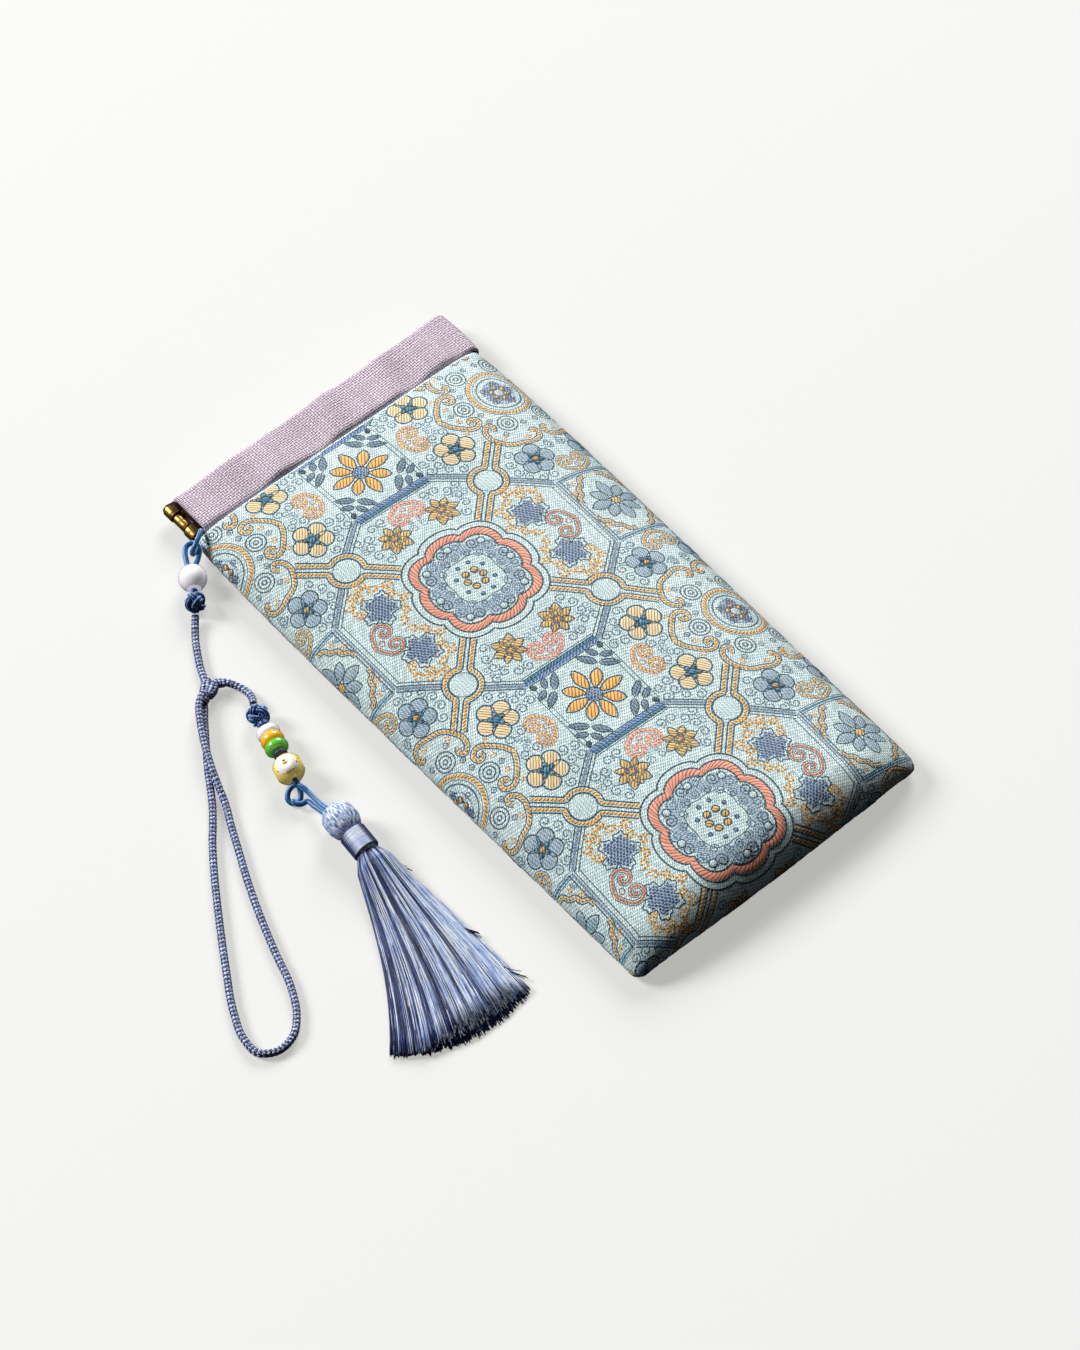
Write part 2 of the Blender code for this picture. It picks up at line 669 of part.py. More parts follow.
def skirt_lock(number, neck):
    """One flat lock of strands, from the neck down to the ground and out to its cut end."""
    share = number / (lock_count - 1)
    turn_from = first_lock.leaves_at + (last_lock.leaves_at - first_lock.leaves_at) * share
    turn_to = first_lock.ends_at + (last_lock.ends_at - first_lock.ends_at) * share
    ends = first_lock.length + (last_lock.length - first_lock.length) * share
    length = skirt_length * (ends + (middle_lock_length - ends) * math.sin(math.pi * share))
    rings = []
    steps = 8
    point = neck + Vector(((0.5 - share) * neck_diameter * 0.7, 0, 0))
    for step in range(steps + 1):
        along = step / steps
        angle = math.radians(turn_from + (turn_to - turn_from) * along**1.5)
        way = Vector((-math.sin(angle), -math.cos(angle), 0))
        if step:
            point = point + way * length / steps
        open_share = min(1.0, 0.28 + along * 1.1)
        thickness = skirt_thickness * (1.25 - 0.55 * along) * (0.9 + 0.2 * (number % 2))
        low = thickness / 2 + 0.05 * mm
        height = low + (neck.z - low) * (1 - min(1.0, along / 0.38)) ** 2
        middle = Vector((point.x, point.y, height))
        rings.append(ring_about(middle, way, lock_width * open_share, thickness, 8))
    return lofted(f"skirt_lock_{number}", rings, None)


def tassel(look):
    """Head, neck and the locks of the skirt, fused into one piece."""
    way = Vector(tassel_neck_way).normalized()
    head_middle = Vector(tassel_head_place) * mm
    rings = []
    for ring in head_rings:
        width = head_diameter * ring.width
        rings.append(ring_about(head_middle + way * ring.along * head_length, way, width, width, 14))
    neck_end = neck_start + binding_length + 3 * clearance
    rings += [
        ring_about(head_middle + way * along, way, neck_diameter, neck_diameter, 14)
        for along in (neck_start, neck_end)
    ]
    obj = lofted("tassel", rings, look)
    neck = head_middle + way * (neck_end - 0.8 * mm)
    for number in range(lock_count):
        boolean(obj, skirt_lock(number, neck), "UNION")
    return obj


def tassel_binding(look):
    """The wound band: a short tube round the neck."""
    way = Vector(tassel_neck_way).normalized()
    middle = Vector(tassel_head_place) + way * (neck_start + binding_length / 2 + 1.5 * clearance) / mm
    inner = neck_diameter / 2 + clearance
    outer = inner + binding_wall
    half = binding_length / 2
    edge = 0.25 * mm
    profile = [
        (outer - edge, half), (outer, half - edge), (outer, -half + edge), (outer - edge, -half),
        (inner, -half), (inner, half),
    ]
    return turned("tassel_binding", profile, look, facing(middle, way))


def main():
    clear_scene()
    brocade = material("brocade", (0.61, 0.77, 0.77), 0.75)
    linen = material("linen", (0.68, 0.55, 0.64), 0.9)
    steel = material("spring_steel", (0.55, 0.55, 0.56), 0.35, 1.0)
    brass = material("antique_brass", (0.33, 0.2, 0.06), 0.35, 1.0)
    satin = material("satin_cord", (0.01, 0.06, 0.18), 0.4)
    braid = material("braided_cord", (0.03, 0.05, 0.16), 0.7)
    white_glass = material("white_glass", (0.74, 0.72, 0.76), 0.15)
    amber_glass = material("amber_glass", (0.95, 0.42, 0.02), 0.15)
    green_glass = material("green_glass", (0.1, 0.42, 0.06), 0.15)
    wound = material("wound_collar", (0.3, 0.35, 0.5), 0.7)
    ceramic = material("yellow_ceramic", (0.9, 0.58, 0.08), 0.2)
    strands = material("tassel_strands", (0.12, 0.2, 0.45), 0.6)
    binding = material("binding_thread", (0.16, 0.25, 0.5), 0.6)

    pouch_body(brocade)
    end_hood(casing("casing_front", front_lip_height, front_lip_shift, linen))
    casing("casing_back", back_lip_height, back_lip_shift, linen)
    spans = knuckle_spans()
    outer, middle = [spans[0], spans[2]], [spans[1]]
    flex_strip("flex_strip_front", front_lip_height, front_lip_shift, outer, knuckle_diameter, brass)
    flex_strip("flex_strip_back", back_lip_height, back_lip_shift, middle, middle_knuckle_diameter, steel)
    hinge_pin("hinge_pin_left", -1, brass)
    hinge_pin("hinge_pin_right", 1, brass)

    cord("side_loop", side_loop_route, loop_diameter, satin, 1.4)
    cord("lanyard_loop", lanyard_loop_route, satin_diameter, satin, 1.4)
    to_bead = Vector(white_bead_place) - Vector(upper_knot_place)
    place = facing(white_bead_place, to_bead)
    bored_bead("white_bead", white_bead_diameter, white_bead_length, white_bead_bore, white_glass, place)
    neck_reach = to_bead.length * mm - (upper_knot_diameter + white_bead_length) / 2 + neck_entry
    button_knot(
        "button_knot_upper", upper_knot_diameter, upper_knot_place, to_bead, braid_diameter, neck_reach, satin
    )
    cord("lanyard_cord", lanyard_cord_route, braid_diameter, braid)
    cord_fork(braid)
    cord("wrist_loop", wrist_loop_route, braid_diameter, braid, 2.0)
    cord("charm_cord", charm_cord_route, braid_diameter, braid, 1.5)
    axis = bead_axis()
    size, place = lower_knot_diameter, lower_knot_place
    button_knot("button_knot_lower", size, place, axis, lower_neck_diameter, collar_length, satin)
    looks = {"white": white_glass, "amber": amber_glass, "green": green_glass, "collar": wound}
    coin_middle = bead_string(looks)
    coin_bead(coin_middle, ceramic)
    bead_cord(coin_middle, satin)
    tassel(strands)
    tassel_binding(binding)


main()
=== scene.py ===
import math

import bpy
import numpy as np
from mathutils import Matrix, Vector


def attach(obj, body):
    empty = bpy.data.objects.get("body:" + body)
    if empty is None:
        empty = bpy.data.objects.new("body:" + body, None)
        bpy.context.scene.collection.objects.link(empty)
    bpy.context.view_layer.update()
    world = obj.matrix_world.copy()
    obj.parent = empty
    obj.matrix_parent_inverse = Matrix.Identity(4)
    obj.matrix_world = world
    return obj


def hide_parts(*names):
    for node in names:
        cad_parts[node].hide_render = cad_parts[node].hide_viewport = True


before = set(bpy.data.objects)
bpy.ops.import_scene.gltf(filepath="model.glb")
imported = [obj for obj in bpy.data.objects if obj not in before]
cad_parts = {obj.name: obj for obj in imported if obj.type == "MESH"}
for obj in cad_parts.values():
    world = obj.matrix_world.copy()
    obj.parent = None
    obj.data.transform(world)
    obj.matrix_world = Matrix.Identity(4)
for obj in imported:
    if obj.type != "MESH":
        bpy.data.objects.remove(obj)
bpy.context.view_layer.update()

mm = 0.001
mergeWithin = 0.0001   # points nearer than this become one


# Points, curves and surfaces

def smoothValues(places, values, at):
    # Values at places, joined by a cubic curve whose slopes are the values' own gradient.
    places = np.asarray(places, float)
    values = np.asarray(values, float)
    at = np.clip(at, places[0], places[-1])
    slopes = np.gradient(values, places, axis=0)
    index = np.clip(np.searchsorted(places, at, side="right") - 1, 0, len(places) - 2)
    span = places[index + 1] - places[index]
    t = (at - places[index]) / span
    if values.ndim == 2:
        t, span = t[:, None], span[:, None]
    return (
        (2 * t**3 - 3 * t**2 + 1) * values[index]
        + (t**3 - 2 * t**2 + t) * span * slopes[index]
        + (3 * t**2 - 2 * t**3) * values[index + 1]
        + (t**3 - t**2) * span * slopes[index + 1]
    )


def runAlong(points):
    # Distance covered up to each point of a path.
    steps = np.linalg.norm(np.diff(points, axis=0), axis=1)
    return np.concatenate([[0.0], np.cumsum(steps)])


def evenly(points, spacing):
    # The same path with its points evenly spaced.
    run = runAlong(points)
    places = np.linspace(0, run[-1], max(2, round(run[-1] / spacing)) + 1)
    return np.stack([np.interp(places, run, points[:, axis]) for axis in range(points.shape[1])], axis=1)


def smoothRoute(route, spacing):
    # Evenly spaced points on the smooth curve through a route's own points.
    points = np.array(route, float)
    places = runAlong(points)
    return evenly(smoothValues(places, points, np.linspace(0, places[-1], 1200)), spacing)


def unit(vectors):
    # Each vector divided by its own length.
    return vectors / np.maximum(np.linalg.norm(vectors, axis=-1, keepdims=True), 1e-12)


def sideways(path):
    # For each point of a path: its direction, the level side square to it, and its own up.
    way = unit(np.gradient(path, axis=0))
    side = unit(np.cross(way, (0.0, 0.0, 1.0)))
    return way, side, np.cross(side, way)


def ovalTube(path, across, above, halfWidth, halfHeight, sides):
    # Grid of an oval tube: point = path + half width cos a across + half height sin a above.
    angle = np.linspace(0, 2 * math.pi, sides + 1)[None, :, None]
    wide, high = [np.broadcast_to(size, (len(path),))[:, None, None] for size in (halfWidth, halfHeight)]
    return path[:, None] + wide * np.cos(angle) * across[:, None] + high * np.sin(angle) * above[:, None]


def tube(path, radius, sides):
    # Grid of a round tube: point = path + radius (cos a side + sin a up), a going once round.
    _, side, above = sideways(path)
    return ovalTube(path, side, above, radius, radius, sides)


def closedTube(path, radius, sides=14):
    # A round tube that closes at both ends as a ball does: radius (1 - (1 - run / radius)^2)^(1/2).
    run = runAlong(path)
    near = np.minimum(run, run[-1] - run)
    return tube(path, radius * np.sqrt(1 - np.clip(1 - near / radius, 0, 1) ** 2), sides)


def turnedPiece(profile, middle, way, sides=40):
    # Grid of a turned piece: each (radius, place along way) of the profile goes once round.
    way = unit(way)
    side = unit(np.cross(way, (0.12, 0.31, 1.0)))
    above = np.cross(side, way)
    angle = np.linspace(0, 2 * math.pi, sides + 1)[:, None]
    radius, place = np.array(profile, float).T[..., None, None]
    return np.asarray(middle) + place * way + radius * (np.cos(angle) * side + np.sin(angle) * above)


def rounded(profile, radius, steps=4):
    # The profile with each inner corner replaced by a short curve.
    points = np.array(profile, float)
    made = [points[:1]]
    f = np.linspace(0, 1, steps)[:, None]
    for before, corner, after in zip(points[:-2], points[1:-1], points[2:]):
        start, end = [
            corner + unit(other - corner) * min(radius, np.linalg.norm(other - corner) / 2)
            for other in (before, after)
        ]
        made.append((1 - f) ** 2 * start + 2 * f * (1 - f) * corner + f**2 * end)
    return np.concatenate([*made, points[-1:]])


def surfaceNormals(grid):
    # The unit vector square to a grid: its rows' way x its columns' way.
    return unit(np.cross(np.gradient(grid, axis=0), np.gradient(grid, axis=1)))


def waves(a, b, rows):
    # Soft unevenness: the sum over the rows of height sin(2 pi (a / along + b / down) + shift).
    return sum(
        height * np.sin(2 * np.pi * (a / along + b / down) + shift) for along, down, shift, height in rows
    )


def gridFaces(rows, columns, start=0):
    # Quads between neighbouring rows of a grid, facing along its rows' way x its columns' way.
    corner = start + np.arange(rows * columns).reshape(rows, columns)
    quads = np.stack([corner[:-1, :-1], corner[1:, :-1], corner[1:, 1:], corner[:-1, 1:]], axis=-1)
    return quads.reshape(-1, 4)


def gridUv(grid):
    # UV in millimetres: the distance down the first column, or the middle one where that is a pole,
    # and the distance across the middle row.
    isPole = np.ptp(grid[:, 0], axis=0).max() <= 0.01
    down = runAlong(grid[:, grid.shape[1] // 2 if isPole else 0])
    return np.stack(np.meshgrid(down, runAlong(grid[len(grid) // 2]), indexing="ij"), axis=-1)


def joinGrids(grids, uvs=None):
    # One set of points, quads and UVs from several grids.
    points, faces, maps, start = [], [], [], 0
    for number, grid in enumerate(grids):
        points.append(grid.reshape(-1, 3))
        faces.append(gridFaces(*grid.shape[:2], start))
        maps.append((gridUv(grid) if uvs is None else uvs[number]).reshape(-1, 2))
        start += grid.shape[0] * grid.shape[1]
    return np.concatenate(points), np.concatenate(faces), np.concatenate(maps)


def pieceFrom(name, surface, materials, replaces=(), slots=None, sharp=None):
    # A mesh in metres on the pouch's one body, from points, quads and UVs. Points in the same place
    # become one, so that seams and poles close, and a quad pinched to three corners is a triangle.
    points, faces, uv = surface
    keys = np.round(points / mergeWithin).astype(np.int64)
    _, first, index = np.unique(keys, axis=0, return_index=True, return_inverse=True)
    merged = index.reshape(-1)[faces]
    pinched = merged == np.roll(merged, -1, axis=1)
    count = pinched.sum(axis=1)
    whole = (count == 0) & (merged[:, 0] != merged[:, 2]) & (merged[:, 1] != merged[:, 3])
    three = count == 1
    keep = np.arange(4)[None, :] != pinched[three].argmax(axis=1)[:, None]
    triangles = merged[three][keep].reshape(-1, 3)
    corners = np.concatenate([faces[whole].reshape(-1), faces[three][keep]])
    mesh = bpy.data.meshes.new(name)
    mesh.from_pydata((points[first] * mm).tolist(), [], merged[whole].tolist() + triangles.tolist())
    layer = mesh.uv_layers.new(name="UVMap")
    layer.data.foreach_set("uv", uv[corners].astype(np.float32).reshape(-1))
    for material in materials:
        mesh.materials.append(material)
    if slots is not None:
        slots = np.concatenate([slots[whole], slots[three]]).astype(np.int32)
        mesh.polygons.foreach_set("material_index", slots)
    mesh.shade_smooth()
    if sharp:
        mesh.set_sharp_from_angle(angle=math.radians(sharp))
    obj = bpy.data.objects.new(name, mesh)
    bpy.context.scene.collection.objects.link(obj)
    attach(obj, "root")
    if replaces:
        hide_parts(*replaces)
    return obj


def piece(name, grids, materials, replaces=(), slots=None, uvs=None, sharp=None):
    # A piece made of several grids. slots gives the number of each grid's material.
    if slots is not None:
        slots = np.repeat(slots, [(grid.shape[0] - 1) * (grid.shape[1] - 1) for grid in grids])
    return pieceFrom(name, joinGrids(grids, uvs), materials, replaces, slots, sharp)


# Materials: helpers, and the effects that several materials share

def put(tree, kind, **settings):
    # A new node with its settings.
    node = tree.nodes.new(kind)
    for name, value in settings.items():
        setattr(node, name, value)
    return node


def feed(tree, socket, value):
    # Links a socket to another one, or sets its value.
    if isinstance(value, bpy.types.NodeSocket):
        tree.links.new(value, socket)
    else:
        socket.default_value = value


def maths(tree, operation, *values):
    # One step of arithmetic.
    node = put(tree, "ShaderNodeMath", operation=operation)
    for socket, value in zip(node.inputs, values):
        feed(tree, socket, value)
    return node.outputs[0]


def blendColors(tree, factor, first, second, mode="MIX"):
    # first (1 - factor) + second factor, or another blend of the two.
    node = put(tree, "ShaderNodeMix", data_type="RGBA", blend_type=mode)
    for number, value in ((0, factor), (6, first), (7, second)):
        feed(tree, node.inputs[number], value)
    return node.outputs[2]


def noise(tree, coordinates, scale, detail=2.0, roughness=0.5):
    # Soft random shades from 0 to 1.
    node = put(tree, "ShaderNodeTexNoise")
    for label, value in (
        ("Vector", coordinates), ("Scale", scale), ("Detail", detail), ("Roughness", roughness),
    ):
        feed(tree, node.inputs[label], value)
    return node.outputs["Fac"]


def spread(tree, value, low, high, outLow=0.0, outHigh=1.0):
    # outLow below low and outHigh above high, with a smooth step between.
    node = put(tree, "ShaderNodeMapRange", interpolation_type="SMOOTHSTEP")
    for socket, given in zip(node.inputs, (value, low, high, outLow, outHigh)):
        feed(tree, socket, given)
    return node.outputs[0]


def chance(tree, kind, **inputs):
    # A random number from 0 to 1 for each whole place.
    node = put(tree, "ShaderNodeTexWhiteNoise", noise_dimensions=kind)
    for label, value in inputs.items():
        feed(tree, node.inputs[label], value)
    return node.outputs["Value"]


def shaded(tree, thread, shade):
    # A thread's colour times its own shade.
    return blendColors(tree, 1.0, thread, shade, "MULTIPLY")


def together(tree, *values):
    # Numbers joined to one vector.
    node = put(tree, "ShaderNodeCombineXYZ")
    for socket, value in zip(node.inputs, values):
        feed(tree, socket, value)
    return node.outputs[0]


def ownUv(tree):
    # The piece's UV map, and its first and second number.
    uv = put(tree, "ShaderNodeUVMap", uv_map="UVMap").outputs[0]
    parts = put(tree, "ShaderNodeSeparateXYZ")
    feed(tree, parts.inputs[0], uv)
    return uv, parts.outputs[0], parts.outputs[1]


def newGroup(name, extra, **inputs):
    # An empty shader group with named inputs, a Color output and one more for a height or a mask.
    group = bpy.data.node_groups.new(name, "ShaderNodeTree")
    for label, value in inputs.items():
        kind = "NodeSocketColor" if isinstance(value, tuple) else "NodeSocketFloat"
        group.interface.new_socket(label, in_out="INPUT", socket_type=kind).default_value = value
    for label, kind in (("Color", "NodeSocketColor"), (extra, "NodeSocketFloat")):
        group.interface.new_socket(label, in_out="OUTPUT", socket_type=kind)
    return group, group.nodes.new("NodeGroupInput").outputs, group.nodes.new("NodeGroupOutput").inputs


def stitchGroup():
    # Slanted stitches in rows on the UV map: place = (length + slant * width) / pitch, shifted from row
    # to row. Every stitch has a shade of its own.
    group, given, out = newGroup(
        "slantedStitches", "Height", Thread=(0.1, 0.2, 0.3, 1), Gap=(0.6, 0.7, 0.7, 1),
        Pitch=0.8, Row=0.6, Slant=0.8, Fill=0.6, Variety=0.4,
    )
    uv, length, width = ownUv(group)
    rows = maths(group, "ADD", maths(group, "DIVIDE", width, given["Row"]), 0.5)
    row = maths(group, "FLOOR", rows)
    wobble = maths(group, "MULTIPLY", noise(group, uv, 0.9, 3.0), 0.7)
    along = maths(group, "MULTIPLY_ADD", width, given["Slant"], length)
    place = maths(group, "ADD", maths(group, "DIVIDE", along, given["Pitch"]), wobble)
    place = maths(group, "MULTIPLY_ADD", row, 0.37, place)
    fromMiddle = maths(group, "ABSOLUTE", maths(group, "SUBTRACT", maths(group, "FRACT", place), 0.5))
    edge = maths(group, "MULTIPLY", given["Fill"], 0.5)
    soft = maths(group, "SUBTRACT", edge, 0.05), maths(group, "ADD", edge, 0.1)
    mask = spread(group, fromMiddle, *soft, 1.0, 0.0)
    fromRow = maths(group, "ABSOLUTE", maths(group, "SUBTRACT", maths(group, "FRACT", rows), 0.5))
    mask = maths(group, "MULTIPLY", mask, spread(group, fromRow, 0.36, 0.5, 1.0, 0.3))
    dyed = chance(group, "2D", Vector=together(group, maths(group, "FLOOR", place), row))
    shade = maths(group, "MULTIPLY_ADD", maths(group, "SUBTRACT", dyed, 0.5), given["Variety"], 1.0)
    thread = shaded(group, given["Thread"], shade)
    feed(group, out["Color"], blendColors(group, mask, given["Gap"], thread))
    feed(group, out["Height"], mask)
    return group


def weaveGroup():
    # Plain weave on the UV map: warp and weft are two sets of ridges, 1 - |cos(pi place)|^3, and which
    # lies on top changes like a chessboard. Every thread has its own shade, and slubs are soft noise.
    group, given, out = newGroup(
        "plainWeave", "Height", Warp=(0.7, 0.6, 0.7, 1), Weft=(0.6, 0.5, 0.6, 1), Hollow=(0.3, 0.2, 0.3, 1),
        Threads=2.0, Slubs=0.5,
    )
    uv, *sides = ownUv(group)
    wander = maths(group, "MULTIPLY", noise(group, uv, 0.35, 2.0), 0.8)
    waving, domes, shades = [], [], []
    for side in sides:
        ridge = maths(group, "MULTIPLY", maths(group, "ADD", side, wander), given["Threads"])
        angle = maths(group, "MULTIPLY", ridge, math.pi)
        waving.append(maths(group, "SINE", angle))
        hollow = maths(group, "POWER", maths(group, "ABSOLUTE", maths(group, "COSINE", angle)), 3.0)
        domes.append(maths(group, "SUBTRACT", 1.0, hollow))
        dyed = chance(group, "1D", W=maths(group, "FLOOR", ridge))
        shades.append(maths(group, "MULTIPLY_ADD", dyed, 0.3, 0.84))
    onTop = spread(group, maths(group, "MULTIPLY", *waving), -0.25, 0.25)
    under = maths(group, "SUBTRACT", 1.0, onTop)
    height = maths(group, "MULTIPLY_ADD", under, domes[1], maths(group, "MULTIPLY", onTop, domes[0]))
    warp, weft = [shaded(group, given[label], shade) for label, shade in zip(("Warp", "Weft"), shades)]
    cloth = blendColors(group, onTop, weft, warp)
    slub = maths(group, "MULTIPLY", spread(group, noise(group, uv, 0.8, 4.0, 0.7), 0.3, 0.8), given["Slubs"])
    cloth = blendColors(group, slub, cloth, (1, 1, 1, 1), "SOFT_LIGHT")
    # Where the threads dip the colour turns dark: painted shade in the weave's hollows.
    feed(group, out["Color"], blendColors(group, spread(group, height, 0.05, 0.62), given["Hollow"], cloth))
    feed(group, out["Height"], height)
    return group


def mottleGroup():
    # Two colours mixed by soft noise in the piece's own space, for aged metal, glaze and dyed yarn.
    group, given, out = newGroup(
        "mottle", "Mask", First=(0.5, 0.5, 0.5, 1), Second=(0.2, 0.2, 0.2, 1), Scale=300.0, Balance=0.5,
    )
    grain = noise(group, put(group, "ShaderNodeTexCoord").outputs["Object"], given["Scale"], 5.0)
    low, high = [maths(group, "ADD", given["Balance"], reach) for reach in (-0.12, 0.12)]
    mask = spread(group, grain, low, high)
    feed(group, out["Color"], blendColors(group, mask, given["First"], given["Second"]))
    feed(group, out["Mask"], mask)
    return group


def fibreGroup():
    # Silk fibres along the UV map's length: noise drawn out lengthwise, sorted into three shades.
    group, given, out = newGroup(
        "silkFibres", "Height", Dark=(0.02, 0.04, 0.12, 1), Middle=(0.2, 0.3, 0.6, 1),
        Light=(0.6, 0.7, 0.9, 1), Length=9.0, Width=0.3, Balance=0.5,
    )
    _, length, width = ownUv(group)
    drawn = together(
        group, maths(group, "DIVIDE", length, given["Length"]), maths(group, "DIVIDE", width, given["Width"])
    )
    level = noise(group, drawn, 1.0, 3.0, 0.6)
    low, high = [maths(group, "ADD", given["Balance"], reach) for reach in (-0.13, 0.13)]
    shown = blendColors(group, spread(group, level, low, given["Balance"]), given["Dark"], given["Middle"])
    shown = blendColors(group, spread(group, level, given["Balance"], high), shown, given["Light"])
    feed(group, out["Color"], shown)
    feed(group, out["Height"], level)
    return group


print("shared shader groups")
stitches, weave, mottle, fibres = stitchGroup(), weaveGroup(), mottleGroup(), fibreGroup()


def newMaterial(name, **settings):
    # A Principled material with constant values set on its own sockets.
    material = bpy.data.materials.new(name)
    material.use_nodes = True
    shader = material.node_tree.nodes["Principled BSDF"]
    for label, value in settings.items():
        shader.inputs[label.replace("_", " ")].default_value = value
    return material, material.node_tree, shader


def useGroup(tree, group, **settings):
    # A shared effect with this material's own values.
    node = put(tree, "ShaderNodeGroup", node_tree=group)
    for label, value in settings.items():
        feed(tree, node.inputs[label], value)
    return node.outputs


def finish(shader, shown, height, distance, strength):
    # Base colour and bump. The bump's distance is in millimetres.
    tree = shader.id_data
    feed(tree, shader.inputs["Base Color"], shown)
    node = put(tree, "ShaderNodeBump")
    for label, value in (("Distance", distance * mm), ("Strength", strength), ("Height", height)):
        feed(tree, node.inputs[label], value)
    feed(tree, shader.inputs["Normal"], node.outputs[0])


def facing(tree, blend, low, high, most=1.0):
    # 0 where the surface faces the eye, rising to most where it turns away.
    rim = put(tree, "ShaderNodeLayerWeight")
    rim.inputs["Blend"].default_value = blend
    return spread(tree, rim.outputs["Facing"], low, high, 0.0, most)


def color(red, green, blue):
    # A colour given as on a screen, 0 to 255, turned to the shader's linear values.
    shares = np.array([red, green, blue]) / 255
    linear = np.where(shares <= 0.04045, shares / 12.92, ((shares + 0.055) / 1.055) ** 2.4)
    return (*linear.tolist(), 1.0)


def threadMaterial(name, thread, gap, pitch, row, slant, fill, variety):
    # Rows of slanted stitches with a soft sheen.
    material, tree, shader = newMaterial(name, Roughness=0.52, Sheen_Weight=0.15, Sheen_Roughness=0.4)
    found = useGroup(
        tree, stitches, Thread=thread, Gap=gap, Pitch=pitch, Row=row, Slant=slant, Fill=fill, Variety=variety
    )
    finish(shader, found["Color"], found["Height"], 0.1, 0.7)
    return material


# The brocade body

pouchShape = {
    "width": 91.0, "halfLength": 88.0, "mouthY": 74.3, "wall": 1.6, "crown": 12.8, "seam": 2.8,
    "seamRoll": 2.8, "endRoll": 9.0, "endHeight": 5.2, "endTuck": 3.6, "endBulge": 1.0,
    "corner": 2.6, "skew": 2.6, "lipDip": 2.2, "dipShare": 0.3, "calmMouth": 12.0,
    "rows": (130, 26), "liningRows": (60, 12), "columns": 161,   # rows down the front and round the end
}
# Sections from the band (0) to the bottom end (1): place, shares of width, crown and seam, and the
# arch's power
bodySections = np.array([
    (0.00, 0.985, 0.79, 1.00, 4.0), (0.06, 0.995, 0.89, 1.00, 3.6), (0.22, 1.000, 0.96, 1.00, 3.2),
    (0.50, 0.992, 1.00, 1.00, 3.1), (0.78, 0.978, 1.02, 1.00, 3.1), (0.93, 0.972, 1.00, 1.00, 3.2),
    (1.00, 0.970, 0.96, 1.00, 3.4),
])
# Soft unevenness of the padded front: reach across and along, shift, height
bodyWaves = [(61.0, 83.0, 0.4, 0.16), (-47.0, 58.0, 1.9, 0.12), (33.0, -71.0, 4.2, 0.09)]


def bodySkin(inset, straightRows, endRows):
    # Front and back panel as grids, every wall taken off by inset. Across a panel the height follows a
    # squared-off arch, (1 - q^power)^(1/2), and over the bottom end a quarter ellipse.
    shape = pouchShape
    length = shape["mouthY"] + shape["halfLength"]
    roll = shape["endRoll"]
    turn = np.linspace(0, math.pi / 2, endRows + 1)[1:]
    straight = np.linspace(0, 1, straightRows) * (length - roll)
    run = np.concatenate([straight, length - roll + (roll - inset) * np.sin(turn)])
    along = np.clip(run / length, 0, 1)
    width, crown, seam, power = smoothValues(bodySections[:, 0], bodySections[:, 1:], along).T[..., None]
    run, along = run[:, None], along[:, None]
    across = np.sin(np.linspace(-1, 1, shape["columns"]) * math.pi / 2)[None, :]
    q = np.abs(across)

    intoCorner = np.clip((run - (length - inset - shape["corner"])) / shape["corner"], 0, 1)
    halfWidth = shape["width"] / 2 * width - inset
    halfWidth = halfWidth - (shape["corner"] - inset) * (1 - np.sqrt(1 - intoCorner**2))
    x = halfWidth * across
    intoEnd = np.clip((run - (length - roll)) / (roll - inset), 0, 1)
    y = shape["mouthY"] - run + shape["skew"] * x / shape["width"] - shape["endBulge"] * intoEnd * (1 - q**2)

    arch = np.sqrt(np.clip(1 - q**power, 0, 1)) * np.sqrt(1 - intoEnd**2)
    edge = shape["seam"] * seam
    edge = edge + (shape["endHeight"] - edge) * intoEnd**2 * (1 - q**6)
    top = edge + (shape["crown"] * crown - inset - edge) * arch
    under = np.clip(1 - (halfWidth - np.abs(x)) / (shape["seamRoll"] - inset / 2), 0, 1)
    underEnd = np.clip(1 - (length - inset - run) / (shape["endTuck"] - inset / 2), 0, 1)
    bottom = edge - (edge - inset) * np.sqrt(1 - under**2) * np.sqrt(1 - underEnd**2)
    dip = shape["lipDip"] * (1 - q**4) * np.clip(1 - along / shape["dipShare"], 0, 1) ** 2
    front = np.stack([x, y - dip, top], axis=-1)
    back = np.stack([x, y, bottom], axis=-1)
    if inset == 0:
        front[..., 2] += waves(x, y, bodyWaves) * arch * np.clip(run / shape["calmMouth"], 0, 1)
    return front, back


